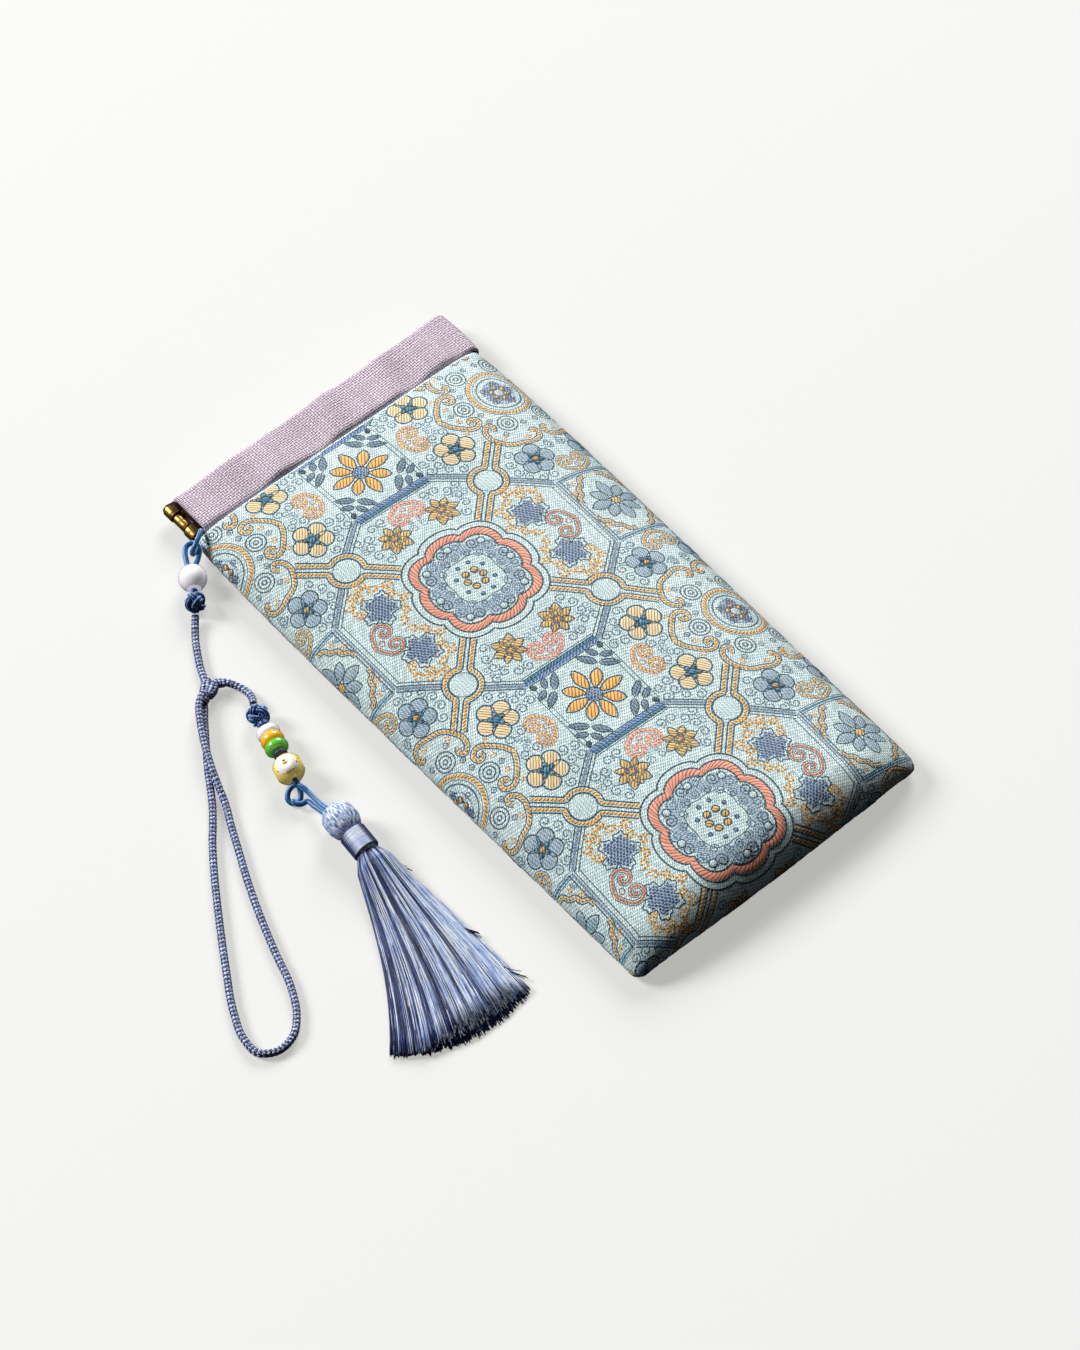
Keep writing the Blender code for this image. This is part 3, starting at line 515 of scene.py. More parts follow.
class Cloth:
    # The brocade as one length of cloth: down the front, round the bottom end and up the back.
    # s is the distance across from its middle line and t the distance from the mouth.
    def __init__(self, front, back):
        # The joined grid, its normals, and the s and t of its points.
        self.grid = np.concatenate([front, back[-2::-1]])
        self.normals = surfaceNormals(self.grid)
        middle = self.grid.shape[1] // 2
        steps = np.linalg.norm(np.diff(self.grid, axis=1), axis=2)
        run = np.concatenate([np.zeros((len(self.grid), 1)), np.cumsum(steps, axis=1)], axis=1)
        self.s = run - run[:, middle:middle + 1]
        self.t = runAlong(self.grid[:, middle])

    def at(self, s, t, lift):
        # The point of the cloth at s and t, raised by lift along its normal, by linear steps in the grid.
        row = np.interp(t, self.t, np.arange(len(self.t)))
        low = np.clip(row.astype(int), 0, len(self.t) - 2)
        share = (row - low)[:, None]
        points = np.empty((len(s), 3))
        for part in np.array_split(np.arange(len(s)), max(1, len(s) // 20000)):   # keeps the memory small
            a, w = low[part], share[part]
            reach = self.s[a] * (1 - w) + self.s[a + 1] * w
            column = np.clip((reach <= s[part, None]).sum(axis=1) - 1, 0, reach.shape[1] - 2)
            rows = np.arange(len(part))
            f = (s[part] - reach[rows, column]) / (reach[rows, column + 1] - reach[rows, column])
            f = np.clip(f, 0, 1)[:, None]
            place, normal = [
                (1 - w) * ((1 - f) * grid[a, column] + f * grid[a, column + 1])
                + w * ((1 - f) * grid[a + 1, column] + f * grid[a + 1, column + 1])
                for grid in (self.grid, self.normals)
            ]
            points[part] = place + unit(normal) * lift[part, None]
        return points

    def edges(self, t):
        # How far the cloth reaches to the left and right at t.
        return np.interp(t, self.t, self.s[:, 0]), np.interp(t, self.t, self.s[:, -1])


# The brocade's pattern: a lattice of octagons and squares. Each motif is worked out about its own
# middle, a across and b towards the bottom end, then mirrored and repeated over the cloth.

lattice = {
    "across": 86.4, "along": 87.3,              # one repeat
    "startAcross": -4.4, "startAlong": 55.6,    # an octagon's middle on the cloth
    "lean": 3.7, "bowAcross": -1.7, "bowAlong": 1.7, "dish": 2.0, "twist": 0.6,   # the weave's own drift
    "octagonHalf": (33.3, 31.6), "squareHalf": 10.6,   # reach to the straight sides
    "step": 0.5, "relief": 0.42, "rim": -0.05,         # spacing of a line's points, height of the thread
    "sideMargin": 0.15, "endMargin": 0.5, "reach": 49.0,
}
# Where a small scroll finds room: inside the octagon's sides, and off its axes, bars, bosses and hearts
scrollRoom = {
    "slope": 0.9, "corner": 39.4, "across": 31.2, "along": 29.6, "axis": 1.0, "bars": 4.2, "boss": 6.6,
    "heartHalf": 6.0, "heartAlong": 22.8, "heartAcross": 23.6,
}
# One half of a heart scroll, as shares of its reach: distance from the tip and from the axis
heartScroll = np.array([
    (0, 0), (1.0, 2.3), (2.6, 4.3), (4.7, 4.5), (6.0, 3.1), (5.6, 1.3), (4.1, 0.9), (3.2, 2.0), (3.9, 3.0),
    (4.7, 2.4),
])
octagonB = np.array([lattice["across"] / 2, lattice["along"] / 2])   # from the first octagon's middle
bossPlace = octagonB / 2
drawn = []   # the surfaces of the motif being drawn


def clothPlace(a, b):
    # The cloth's s and t for a place in the pattern: the repeat, its lean and a slight bow.
    v, u = a / lattice["across"], b / lattice["along"]
    nearU = np.clip(u, -1.0, 1.4)
    s = lattice["startAcross"] + a + lattice["bowAcross"] * nearU**2 + lattice["twist"] * nearU * v
    t = lattice["startAlong"] + b + lattice["lean"] * v + lattice["bowAlong"] * nearU**2
    return s, t + lattice["dish"] * v**2


def between(first, second, steps, lift, fan=False):
    # Surface between two curves: (1 - f) first + f second, domed across as (1 - (2f - 1)^2)^(1/2).
    # A fan has its middle as the first curve and falls to its outline as (1 - f^2)^(1/2).
    f = np.linspace(0, 1, steps + 1)
    grid = first[:, None] * (1 - f)[None, :, None] + second[:, None] * f[None, :, None]
    dome = 1 - f**2 if fan else 1 - (2 * f - 1) ** 2
    rim = lattice["rim"]
    lifts = np.broadcast_to(rim + (lattice["relief"] * lift - rim) * np.sqrt(dome), grid.shape[:2])
    if fan:
        return grid, lifts, grid
    run = runAlong((first + second) / 2)
    width = np.linalg.norm(second - first, axis=1)
    uv = np.stack([np.broadcast_to(run[:, None], grid.shape[:2]), width[:, None] * (f - 0.5)], axis=-1)
    return grid, lifts, uv


def besides(path, distance):
    # The path moved sideways by a distance, its ends joined up where it is closed.
    closed = np.linalg.norm(path[0] - path[-1]) < 1e-6
    padded = np.concatenate([path[-2:-1], path, path[1:2]]) if closed else path
    way = unit(np.gradient(padded, axis=0))
    way = way[1:-1] if closed else way
    return path + distance * np.stack([-way[:, 1], way[:, 0]], axis=1)


def stamp(thread, element, mirror="ab"):
    # Adds a surface to the motif, to be mirrored across a, b or both.
    drawn.append((thread, element, mirror))


def ribbon(thread, path, width, lift=0.16, steps=2, mirror="ab"):
    # A line of stitches: the surface between the path's two sides, half a width away.
    stamp(thread, between(besides(path, -width / 2), besides(path, width / 2), steps, lift), mirror)


def patch(thread, outline, lift, middle=None, mirror="ab"):
    # A filled outline: a fan from its middle.
    middle = outline.mean(axis=0) if middle is None else middle
    stamp(thread, between(np.broadcast_to(middle, outline.shape), outline, 3, lift, fan=True), mirror)


def route(points):
    # A line's points at the stitches' spacing, on a smooth curve where there are more than two.
    points = np.array(points, float)
    return (smoothRoute if len(points) > 2 else evenly)(points, lattice["step"])


def edgedLine(fill, edge, path, width, edgeWidth=0.56):
    # A satin-stitched line with a thin line of stitches along both sides.
    ribbon(fill, path, width, 0.22, 3)
    for side in (-1, 1):
        ribbon(edge, besides(path, side * (width + edgeWidth) / 2), 1.2 * edgeWidth, 0.24)


def filled(fill, edge, outline, width=0.5, lift=0.2, mirror="ab"):
    # A filled outline with a line of stitches along it.
    patch(fill, outline, lift, mirror=mirror)
    ribbon(edge, outline, 1.2 * width, lift + 0.1, mirror=mirror)


def circle(middle, radius):
    # middle + radius (cos a, sin a), with points at the stitches' spacing.
    count = max(10, round(2 * math.pi * radius / lattice["step"])) + 1
    angle = np.linspace(0, 2 * math.pi, count)
    return np.asarray(middle, float) + radius * np.stack([np.cos(angle), np.sin(angle)], axis=1)


def hoop(thread, middle, radius, width, lift=0.16, mirror="ab"):
    # A ring of stitches.
    ribbon(thread, circle(middle, radius), width, lift, mirror=mirror)


def dot(thread, middle, radius, lift, mirror="ab"):
    # A round spot of stitches.
    patch(thread, circle(middle, radius), lift, middle, mirror)


def scroll(thread, middle, radius, degrees, turns, width, lift=0.2, mirror="ab", close=0.75):
    # A spiral closing on its middle: radius (1 - close f) at angle start + 2 pi turns f.
    count = max(10, round(2 * math.pi * abs(turns) * radius * 0.65 / lattice["step"]))
    f = np.linspace(0, 1, count)[:, None]
    angle = math.radians(degrees) + 2 * math.pi * turns * f
    path = np.asarray(middle, float) + radius * (1 - close * f) * np.hstack([np.cos(angle), np.sin(angle)])
    ribbon(thread, path, width, lift, mirror=mirror)


def turnedBy(points, degrees):
    # Points turned about the middle.
    angle = math.radians(degrees)
    return points @ np.array([[math.cos(angle), math.sin(angle)], [-math.sin(angle), math.cos(angle)]])


def pointAt(radius, degrees, middle=(0, 0)):
    # The point at a distance from a middle, in a direction.
    return np.asarray(middle, float) + turnedBy(np.array([radius, 0.0]), degrees)


def petal(middle, degrees, start, length, halfWidth, tip):
    # A petal's closed outline: half width sin(pi f^tip)^0.8 on both sides of its own axis.
    f = np.linspace(0, 1, max(8, round(length / lattice["step"])))
    side = halfWidth * np.sin(math.pi * f**tip) ** 0.8
    half = np.stack([start + length * f, side], axis=1)
    outline = np.concatenate([half, half[-2::-1] * (1, -1)])
    return np.asarray(middle, float) + turnedBy(outline, degrees)


def octofoil(axis, cusp, diagonal):
    # Eight round lobes: cusp + (lobe - cusp) |cos 4a|^0.7, the lobe turning from axis to diagonal.
    angle = np.linspace(0, 2 * math.pi, 193)
    lobe = axis * np.cos(2 * angle) ** 2 + diagonal * np.sin(2 * angle) ** 2
    reach = cusp + (lobe - cusp) * np.abs(np.cos(4 * angle)) ** 0.7
    return reach[:, None] * np.stack([np.cos(angle), np.sin(angle)], axis=1)


def heart(thread, edge, tip, reach, along):
    # Two scrolls that meet in a tip, which lies on one axis.
    shape = (tip, 0) + heartScroll * (-reach, reach)
    drop = (tip - 2.0 * reach, 0.0)
    path = smoothRoute(shape if along == "a" else shape[:, ::-1], lattice["step"])
    ribbon(thread, path, 0.85, 0.2, 3)
    for side in (-1, 1):
        ribbon(edge, besides(path, side * 0.58), 0.4)
    hoop(thread, drop if along == "a" else drop[::-1], 0.7, 0.5, 0.18)


def clouds(places, radius=1.2, width=0.46):
    # Soft scrolls: one with a smaller one beside it.
    for a, b, start in places:
        scroll("grey", (a, b), radius, start, 1.35, width, 0.14)
        beside = pointAt(1.55 * radius, start + 70, (a, b))
        scroll("grey", beside, 0.62 * radius, start + 200, -1.1, width, 0.14)


def wreath(middle, radius, inner, count=13):
    # Small grey scrolls round a flower, left out where the octagon's frame, bars or hearts run.
    room = scrollRoom
    for number in range(count):
        degrees = 360 / count * number + 12
        a, b = pointAt(radius, degrees, middle)
        inFrame = room["slope"] * a + b < room["corner"] and a < room["across"] and b < room["along"]
        offBars = abs(a - b) > room["bars"] and math.dist((a, b), bossPlace) > room["boss"]
        byHeart = (a < room["heartHalf"] and b > room["heartAlong"]) or (
            b < room["heartHalf"] and a > room["heartAcross"])
        if inFrame and offBars and not byHeart and min(a, b) > room["axis"] and math.hypot(a, b) > inner:
            scroll("grey", (a, b), 1.5, degrees + 160, 1.3 if number % 2 else -1.3, 0.52, 0.24)


def roundFlower(fill, edge, heartThread, middle, turn, size=1.0):
    # Five round petals about a small stitched heart.
    for degrees in np.array([0, 74, 147, 213, 286]) + turn:
        outline = circle((0, 0), 2.15 * size) * (1.0, 1.04)
        filled(fill, edge, pointAt(3.15 * size, degrees, middle) + turnedBy(outline, degrees))
    for degrees in np.arange(5) * 72 + turn + 36:
        place = pointAt(1.5 * size, degrees, middle)
        dot("sky", place, 0.62, 0.46)
        hoop(edge, place, 0.7, 0.32, 0.5)
    dot(heartThread, middle, 0.95 * size, 0.5)


def crossLines(axis, rows):
    # Straight lines square to an axis: thread, place on the axis, half length, width and lift.
    for thread, reach, half, width, lift in rows:
        ends = np.array([(reach, -half), (reach, half)])
        ribbon(thread, route(ends if axis == "a" else ends[:, ::-1]), width, lift, mirror=axis)


medallionShape = {   # reach of each outline on the axes, in its cusps and on the diagonals
    "outline": (16.6, 15.4, 17.6), "outer": (14.8, 13.4, 15.9), "inner": (12.4, 11.2, 13.5),
    "bandOuter": (12.0, 10.8, 13.1), "bandInner": (6.3, 6.9, 7.6),
}


def medallion():
    # A coral octofoil between teal lines, a band of scrolls inside it, and a rosette of gold dots.
    lobes = {name: octofoil(*reach) for name, reach in medallionShape.items()}
    stamp("coral", between(lobes["outer"], lobes["inner"], 4, 0.24), "")
    stamp("mist", between(lobes["bandOuter"], lobes["bandInner"], 5, 0.1), "")
    for name, width, lift in (
        ("outer", 0.6, 0.34), ("inner", 0.6, 0.34), ("outline", 0.62, 0.34), ("bandInner", 0.45, 0.16)
    ):
        ribbon("teal", lobes[name], width, lift, mirror="")
    for number in range(16):
        degrees, way = 22.5 * number + 11.25, 1.5 if number % 2 else -1.5
        first = pointAt(10.6, degrees)
        scroll("teal" if number % 2 else "grey", first, 1.65, degrees + 90, way, 0.66, 0.26, "")
        scroll("grey", pointAt(7.9, degrees + 11.25), 1.25, degrees - 90, -way, 0.55, 0.26, "")
        scroll("teal", pointAt(12.2, degrees + 5), 1.3, degrees + 30, 0.5, 0.4, 0.26, "")
    for number in range(8):
        pearl = circle(pointAt(11.6 if number % 2 else 10.6, 45 * number), 1.0)
        filled("pale", "teal", pearl, 0.4, 0.3, "")
        hoop("teal", pointAt(7.6, 45 * number + 22.5), 0.6, 0.36, 0.2, "")
    for place, mirror in (((2.3, 0.0), "a"), ((1.3, 2.2), "ab")):
        filled("gold", "teal", circle(place, 0.95) * (1.0, 0.95), 0.4, mirror=mirror)
    for place in ((3.95, 2.3), (1.55, 4.75)):
        filled("sky", "teal", circle(place, 0.52), 0.3)


def octagonBorders():
    # A thick line along the warm square, and thin double lines along the other sides.
    acrossHalf, alongHalf = lattice["octagonHalf"]
    half = lattice["squareHalf"]
    crossLines("b", [
        ("teal", 29.9, half, 0.42, 0.18), ("sky", 30.9, half, 1.15, 0.18),
        ("violet", 32.0, half + 0.3, 1.35, 0.18),
        ("teal", 30.45, half, 0.4, 0.34), ("teal", 31.4, half, 0.4, 0.34), ("teal", 32.65, half, 0.4, 0.34),
    ])
    crossLines("a", [
        ("teal", 32.2, 11.0, 0.42, 0.18), ("teal", 33.4, 11.4, 0.42, 0.18),
        ("violetGrey", 34.1, 11.4, 1.1, 0.18),
        ("teal", 34.9, 11.4, 0.5, 0.3),
    ])
    for ends in ([(half, alongHalf), (18.4, 25.4)], [(25.4, 18.2), (acrossHalf, 11.3)]):
        for thread, away, width, lift in (
            ("teal", -1.0, 0.5, 0.18), ("violetGrey", 0.55, 1.3, 0.18), ("teal", 1.3, 0.52, 0.3),
            ("teal", -0.15, 0.5, 0.3),
        ):
            ribbon(thread, route(besides(np.array(ends), away)), width, lift)


def bars():
    # Gold double bars from the medallion to the other octagon's frame. They open round a boss: their
    # distance from the middle line is the greater of half a gap and the boss's own circle.
    way = unit(bossPlace)
    side = np.array([-way[1], way[0]])
    reach = np.linalg.norm(bossPlace)
    far = np.linalg.norm(octagonB - (11.9, 13.6))
    places = np.concatenate([
        np.linspace(17.8, reach - 5.2, 14), reach + 4.3 * np.sin(np.linspace(-1.4, 1.4, 25)),
        np.linspace(reach + 5.2, far, 14),
    ])
    opening = np.maximum(1.25, np.sqrt(np.clip(4.35**2 - (places - reach) ** 2, 0, None)))
    for flip in (-1, 1):
        path = evenly(places[:, None] * way + flip * opening[:, None] * side, lattice["step"])
        # Spaced twice, because the first spacing cuts its corners and leaves shorter steps there
        edgedLine("gold", "teal", evenly(path, lattice["step"]), 1.0, 0.5)
    dot("pale", bossPlace, 3.1, 0.16)
    hoop("teal", bossPlace, 3.35, 0.36)


def lotusSectors():
    # Along the pouch: gold lotus flowers about a coral heart, with scrolls round them.
    middle = np.array([7.1, 21.6])
    for degrees, length, width in (
        (38, 3.6, 1.0), (90, 3.7, 1.1), (142, 3.6, 1.0), (-170, 4.1, 1.2), (-10, 4.1, 1.2), (-122, 4.4, 1.4),
        (-58, 4.4, 1.4), (-90, 3.6, 1.2),
    ):
        filled("paleGold", "teal", petal(middle, degrees, 0.5, length, width, 0.8), 0.42)
    filled("orange", "teal", circle(middle, 1.2), 0.36)
    heart("coral", "coralDark", 29.5, 0.95, "b")
    wreath(middle, 6.2, 19.9)
    wreath(middle, 8.8, 19.9, 19)
    clouds([(1.6, 21.0, 30), (15.0, 22.6, 20)])


def vineSectors():
    # Across the pouch: violet leaf masses in a gold vine, and a coral heart. A mass reaches
    # 2.7 + 2.3 |cos(2.5 a + 0.5)|^0.9 + 0.3 sin 17 a from its middle.
    middle = np.array([22.6, 7.7])
    angle = np.linspace(0, 2 * math.pi, 145)
    reach = 2.7 + 2.3 * np.abs(np.cos(2.5 * angle + 0.5)) ** 0.9 + 0.3 * np.sin(17 * angle)
    mass = middle + reach[:, None] * np.stack([np.cos(angle), np.sin(angle)], axis=1)
    filled("leaf", "teal", mass, 0.4)
    for degrees in np.arange(5) * 72 - 11.5:
        vein = [pointAt(near, degrees, middle) for near in (0.6, 3.6)]
        ribbon("grey", route(vein), 0.4, 0.34)
    heart("coralDark", "teal", 30.4, 0.98, "a")
    vine = [
        (19.6, 0.6), (19.3, 2.6), (17.4, 5.0), (17.0, 8.2), (18.3, 12.2), (21.8, 14.9), (25.8, 14.0),
        (28.3, 10.6), (27.7, 8.4),
    ]
    ribbon("paleGold", route(vine), 0.75, 0.2)
    for a, b, start, turns in (
        (18.3, 3.4, 40, 1.1), (16.3, 6.4, 190, -1.2), (18.4, 9.6, 100, 1.2), (17.3, 12.3, 230, -1.1),
        (20.3, 13.2, 330, 1.1), (21.4, 16.0, 120, -1.0), (24.2, 13.4, 280, 1.1), (27.5, 13.0, 30, -1.0),
        (27.2, 10.0, 200, 1.2), (20.4, 1.9, 320, -1.0), (23.2, 15.9, 60, 1.1), (25.9, 15.0, 200, -1.0),
    ):
        scroll("gold", (a, b), 1.35, start, turns, 0.85, 0.24)
        scroll("grey", (a, b), 2.0, start + 20, turns * 0.4, 0.4, 0.14)


def star(fill, start, straight, diagonal, edgeWidth, lift):
    # Eight petals about a middle, four straight and four diagonal: length, half width and tip of each.
    for number in range(8):
        length, halfWidth, tip = diagonal if number % 2 else straight
        filled(fill, "teal", petal((0, 0), 45 * number, start, length, halfWidth, tip), edgeWidth, lift, "")


def warmSquareMotif():
    # An orange star in its frame lines, with three pairs of leaves spread from each corner.
    crossLines("a", [("teal", 10.0, 10.2, 0.36, 0.18), ("teal", 11.1, 10.2, 0.36, 0.18)])
    star("orange", 1.7, (6.7, 1.45, 1.05), (5.9, 1.5, 1.25), 0.45, 0.26)
    filled("leaf", "teal", circle((0, 0), 2.0), 0.4, 0.26, "")
    dot("sky", (-0.9, 0.2), 0.8, 0.3, "")
    for start, length, halfWidth, lean in ((6.5, 5.1, 0.95, 82), (8.0, 3.4, 0.8, 72), (9.3, 1.7, 0.6, 0)):
        for degrees in (45 - lean, 45 + lean):
            filled("violetGrey", "teal", petal((start, start), degrees, 0.25, length, halfWidth, 0.8), 0.42)
            vein = [pointAt(near, degrees, (start, start)) for near in (0.8, length - 0.4)]
            ribbon("teal", route(vein), 0.34, 0.36)


def coolSquareMotif():
    # A blue star in its frame lines, with gold ribs across the corners and a scroll on each side.
    crossLines("b", [
        ("sky", 11.4, 8.6, 1.05, 0.18), ("teal", 10.75, 8.6, 0.4, 0.18), ("teal", 12.05, 8.6, 0.4, 0.18),
    ])
    star("denim", 1.4, (5.8, 1.5, 1.05), (4.9, 1.45, 1.05), 0.42, 0.22)
    filled("gold", "teal", circle((0, 0), 1.2), 0.4, mirror="")
    rib = [(8.3, 2.4), (7.9, 4.2), (6.4, 5.2), (6.0, 6.9), (4.5, 7.8), (3.6, 9.6), (1.8, 10.1)]
    edgedLine("gold", "teal", route(rib), 0.85, 0.42)
    for thread, place, radius, turns, width, lift in (
        ("gold", (8.0, 6.4), 1.1, 1.3, 0.55, 0.18), ("gold", (5.9, 9.0), 0.9, -1.3, 0.5, 0.18),
        ("sky", (7.8, 9.2), 1.0, 1.4, 0.5, 0.16),
    ):
        scroll(thread, place, radius, math.degrees(2.2), turns, width, lift)


def secondOctagon():
    # A blue disc in a gold ring, rosettes about it and a frame of gold cloud scrolls.
    filled("leaf", "teal", circle((0, 0), 5.6), 0.5, 0.12, "")
    for number in range(10):
        thread, degrees = "pale" if number % 2 else "teal", 36 * number
        scroll(thread, pointAt(4.1, degrees), 0.95, degrees + 120, 1.3, 0.42, 0.26, "")
    ribbon("gold", circle((0, 0), 7.5), 1.25, 0.24, 3, "")
    for radius, width in ((6.6, 0.35), (8.3, 0.4)):
        hoop("teal", (0, 0), radius, width, mirror="")
    for degrees in np.arange(6) * 60:
        filled("gold", "teal", circle(pointAt(2.0, degrees + 30), 0.8), 0.38, 0.26, "")
        for radius in (2.5, 1.55, 0.6):
            hoop("teal", pointAt(11.3, degrees), radius, 0.56, 0.22, "")
    dot("pale", (0, 0), 1.35, 0.34, "")
    hoop("teal", (0, 0), 0.35, 0.3, 0.5, "")
    diamond = np.array([(1, 0), (0, 1), (-1, 0), (0, -1), (1, 0)]) * 0.85
    for a, b in ((15.2, 0), (9.2, 4.0), (8.9, 6.9), (8.4, 12.6), (1.9, 11.3)):
        mirror = "ab" if b else "a"
        ribbon("teal", evenly(diamond + (a, b), lattice["step"]), 0.45, 0.18, mirror=mirror)
        dot("denim", (a, b), 0.5, 0.14, mirror)
    outerFrame = [
        (2.7, 15.0), (1.7, 14.4), (0.9, 15.6), (1.8, 17.2), (3.8, 17.9), (6.7, 17.1), (9.7, 16.1),
        (11.7, 13.7), (12.6, 11.0), (11.8, 8.6), (10.3, 7.8), (9.4, 9.0), (10.3, 10.1),
    ]
    innerFrame = [
        (18.8, 0.0), (17.7, 2.5), (15.8, 4.8), (14.0, 6.4), (12.4, 6.6), (11.0, 5.4), (11.6, 3.8),
        (13.0, 4.1), (12.9, 5.2),
    ]
    for frameLine in (outerFrame, innerFrame):
        edgedLine("gold", "teal", route(frameLine), 0.95, 0.4)
    for a, b, start, turns in (
        (1.5, 14.9, 40, 1.3), (4.4, 15.9, 200, -1.2), (9.6, 13.6, 250, 1.2), (15.0, 2.6, 130, 1.2),
        (15.9, 6.8, 300, -1.1),
    ):
        scroll("gold", (a, b), 0.9, start, turns, 0.55)


def flowerSectors():
    # Across the pouch: gold flowers and a heart. Along it: blue flowers and a heart.
    across, along = (21.3, 9.1), (8.0, 23.0)
    roundFlower("khaki", "teal", "sky", across, 180)
    roundFlower("denim", "teal", "gold", along, 250, 0.95)
    heart("gold", "coralDark", 30.5, 0.92, "a")
    heart("gold", "teal", 31.2, 0.92, "b")
    for flower in (across, along):
        wreath(flower, 6.5, 20.2)
        wreath(flower, 9.2, 20.2, 19)
    clouds([(21.4, 1.6, 250), (1.6, 21.2, 200)])


# Each motif and where its middle lies, from the first octagon's
motifs = [
    (medallion, (0, 0)), (octagonBorders, (0, 0)), (bars, (0, 0)),
    (lotusSectors, (0, 0)), (vineSectors, (0, 0)),
    (warmSquareMotif, (0, octagonB[1])), (coolSquareMotif, (octagonB[0], 0)),
    (secondOctagon, octagonB), (flowerSectors, octagonB),
]


def patternParts():
    # Every motif's surfaces by thread, each with its mirrored copies, moved to the motif's middle.
    parts = {}
    for drawMotif, base in motifs:
        drawn.clear()
        drawMotif()
        for thread, (grid, lift, uv), mirror in drawn:
            for flipA in (1, -1) if "a" in mirror else (1,):
                for flipB in (1, -1) if "b" in mirror else (1,):
                    parts.setdefault(thread, []).append((grid * (flipA, flipB) + base, lift, uv))
    return parts


def repeated(grid):
    # The cloth's s and t for the repeats of a surface that may lie on the cloth.
    for column in (-1, 0, 1):
        for row in range(-1, 4):
            copy = grid + (column * lattice["across"], row * lattice["along"])
            s, t = clothPlace(copy[..., 0], copy[..., 1])
            if (t > 0).any() and (t < cloth.t[-1]).any() and (np.abs(s) < lattice["reach"]).any():
                yield s, t


def sewOn(parts):
    # Lays one thread's surfaces on the cloth. Those across its edge are cut there.
    points, faces, maps, start = [], [], [], 0
    side = lattice["sideMargin"]
    low, high = lattice["endMargin"], cloth.t[-1] - lattice["endMargin"]
    for grid, lift, uv in parts:
        along, across = grid[1:, :-1] - grid[:-1, :-1], grid[:-1, 1:] - grid[:-1, :-1]
        turning = (along[..., 0] * across[..., 1] - along[..., 1] * across[..., 0]).sum()
        if turning > 0:
            grid, lift, uv = grid[:, ::-1], lift[:, ::-1], uv[:, ::-1]
        for s, t in repeated(grid):
            left, right = cloth.edges(t)
            inside = (t > low) & (t < high) & (s > left + side) & (s < right - side)
            if not inside.any():
                continue
            quads = gridFaces(*s.shape)
            quads = quads[inside.reshape(-1)[quads].any(axis=1)]
            faces.append(quads + start)
            placed = [np.clip(s, left + side, right - side), np.clip(t, low, high), lift]
            points.append(np.stack(placed, axis=-1).reshape(-1, 3))
            maps.append(uv.reshape(-1, 2))
            start += s.size
    return cloth.at(*np.concatenate(points).T), np.concatenate(faces), np.concatenate(maps)


# Each thread: its colour, what shows between its stitches, their pitch, row, slant, fill and variety
threadColors = {
    "teal": ((2, 32, 54), (96, 150, 162), 0.94, 3.0, 0.95, 0.7, 0.9),
    "coral": ((242, 164, 134), (152, 78, 62), 1.05, 9.0, 0.9, 0.66, 0.3),
    "coralDark": ((208, 128, 82), (92, 54, 40), 0.8, 3.0, 0.9, 0.64, 0.4),
    "gold": ((240, 184, 96), (78, 64, 44), 0.92, 3.0, 0.8, 0.62, 0.4),
    "paleGold": ((238, 190, 104), (74, 76, 64), 0.9, 3.0, 0.8, 0.62, 0.5),
    "khaki": ((246, 214, 160), (112, 118, 104), 0.86, 400.0, 0.8, 0.66, 0.3),
    "orange": ((254, 190, 92), (150, 82, 24), 0.98, 400.0, 0.7, 0.64, 0.3),
    "sky": ((10, 88, 124), (110, 170, 190), 0.98, 3.0, 0.9, 0.66, 0.6),
    "violet": ((44, 82, 154), (150, 184, 216), 1.0, 3.0, 0.9, 0.64, 0.5),
    "violetGrey": ((68, 90, 124), (166, 188, 200), 0.8, 0.45, 0.95, 0.62, 0.7),
    "denim": ((94, 124, 152), (200, 220, 226), 0.8, 0.5, 0.9, 0.6, 0.9),
    "leaf": ((48, 72, 112), (176, 196, 214), 0.95, 0.66, 0.3, 0.7, 0.9),
    "mist": ((92, 122, 150), (204, 220, 226), 0.84, 0.5, 0.8, 0.58, 1.0),
    "pale": ((222, 240, 238), (104, 142, 158), 0.84, 0.6, 0.9, 0.76, 0.2),
    "grey": ((44, 84, 112), (164, 200, 206), 0.8, 3.0, 0.9, 0.7, 0.7),
}
ground = threadMaterial(
    "brocadeGround", color(230, 248, 247), color(42, 100, 114), 0.88, 0.52, 0.7, 0.75, 0.4
)
lining = threadMaterial("satinLining", color(196, 205, 214), color(160, 172, 186), 0.5, 0.4, 0.0, 0.8, 0.1)


print("brocade body")
outerFront, outerBack = bodySkin(0.0, *pouchShape["rows"])
innerFront, innerBack = bodySkin(pouchShape["wall"], *pouchShape["liningRows"])
cloth = Cloth(outerFront, outerBack)
# The outer cloth, the lining turned to face inwards, and the two rims at the mouth
skins = [
    cloth.grid, np.concatenate([innerFront, innerBack[-2::-1]])[:, ::-1],
    np.stack([innerFront[0], outerFront[0]]), np.stack([outerBack[0], innerBack[0]]),
]
clothUv = np.stack([np.broadcast_to(cloth.t[:, None], cloth.s.shape), cloth.s], axis=-1)
body = piece(
    "brocadeBody", skins, [ground, lining], ["pouch_body"], slots=[0, 1, 1, 1],
    uvs=[clothUv, *[grid[..., 1::-1] for grid in skins[1:]]],
)

print("brocade pattern")
parts = patternParts()
for thread, (front, gap, *stitch) in threadColors.items():
    look = threadMaterial(f"{thread}Thread", color(*front), color(*gap), *stitch)
    sewn = pieceFrom(f"{thread}Pattern", sewOn(parts[thread]), [look])
    print("  ", thread, len(sewn.data.polygons))


# The linen band: two flattened tubes of cloth, one for each lip of the mouth

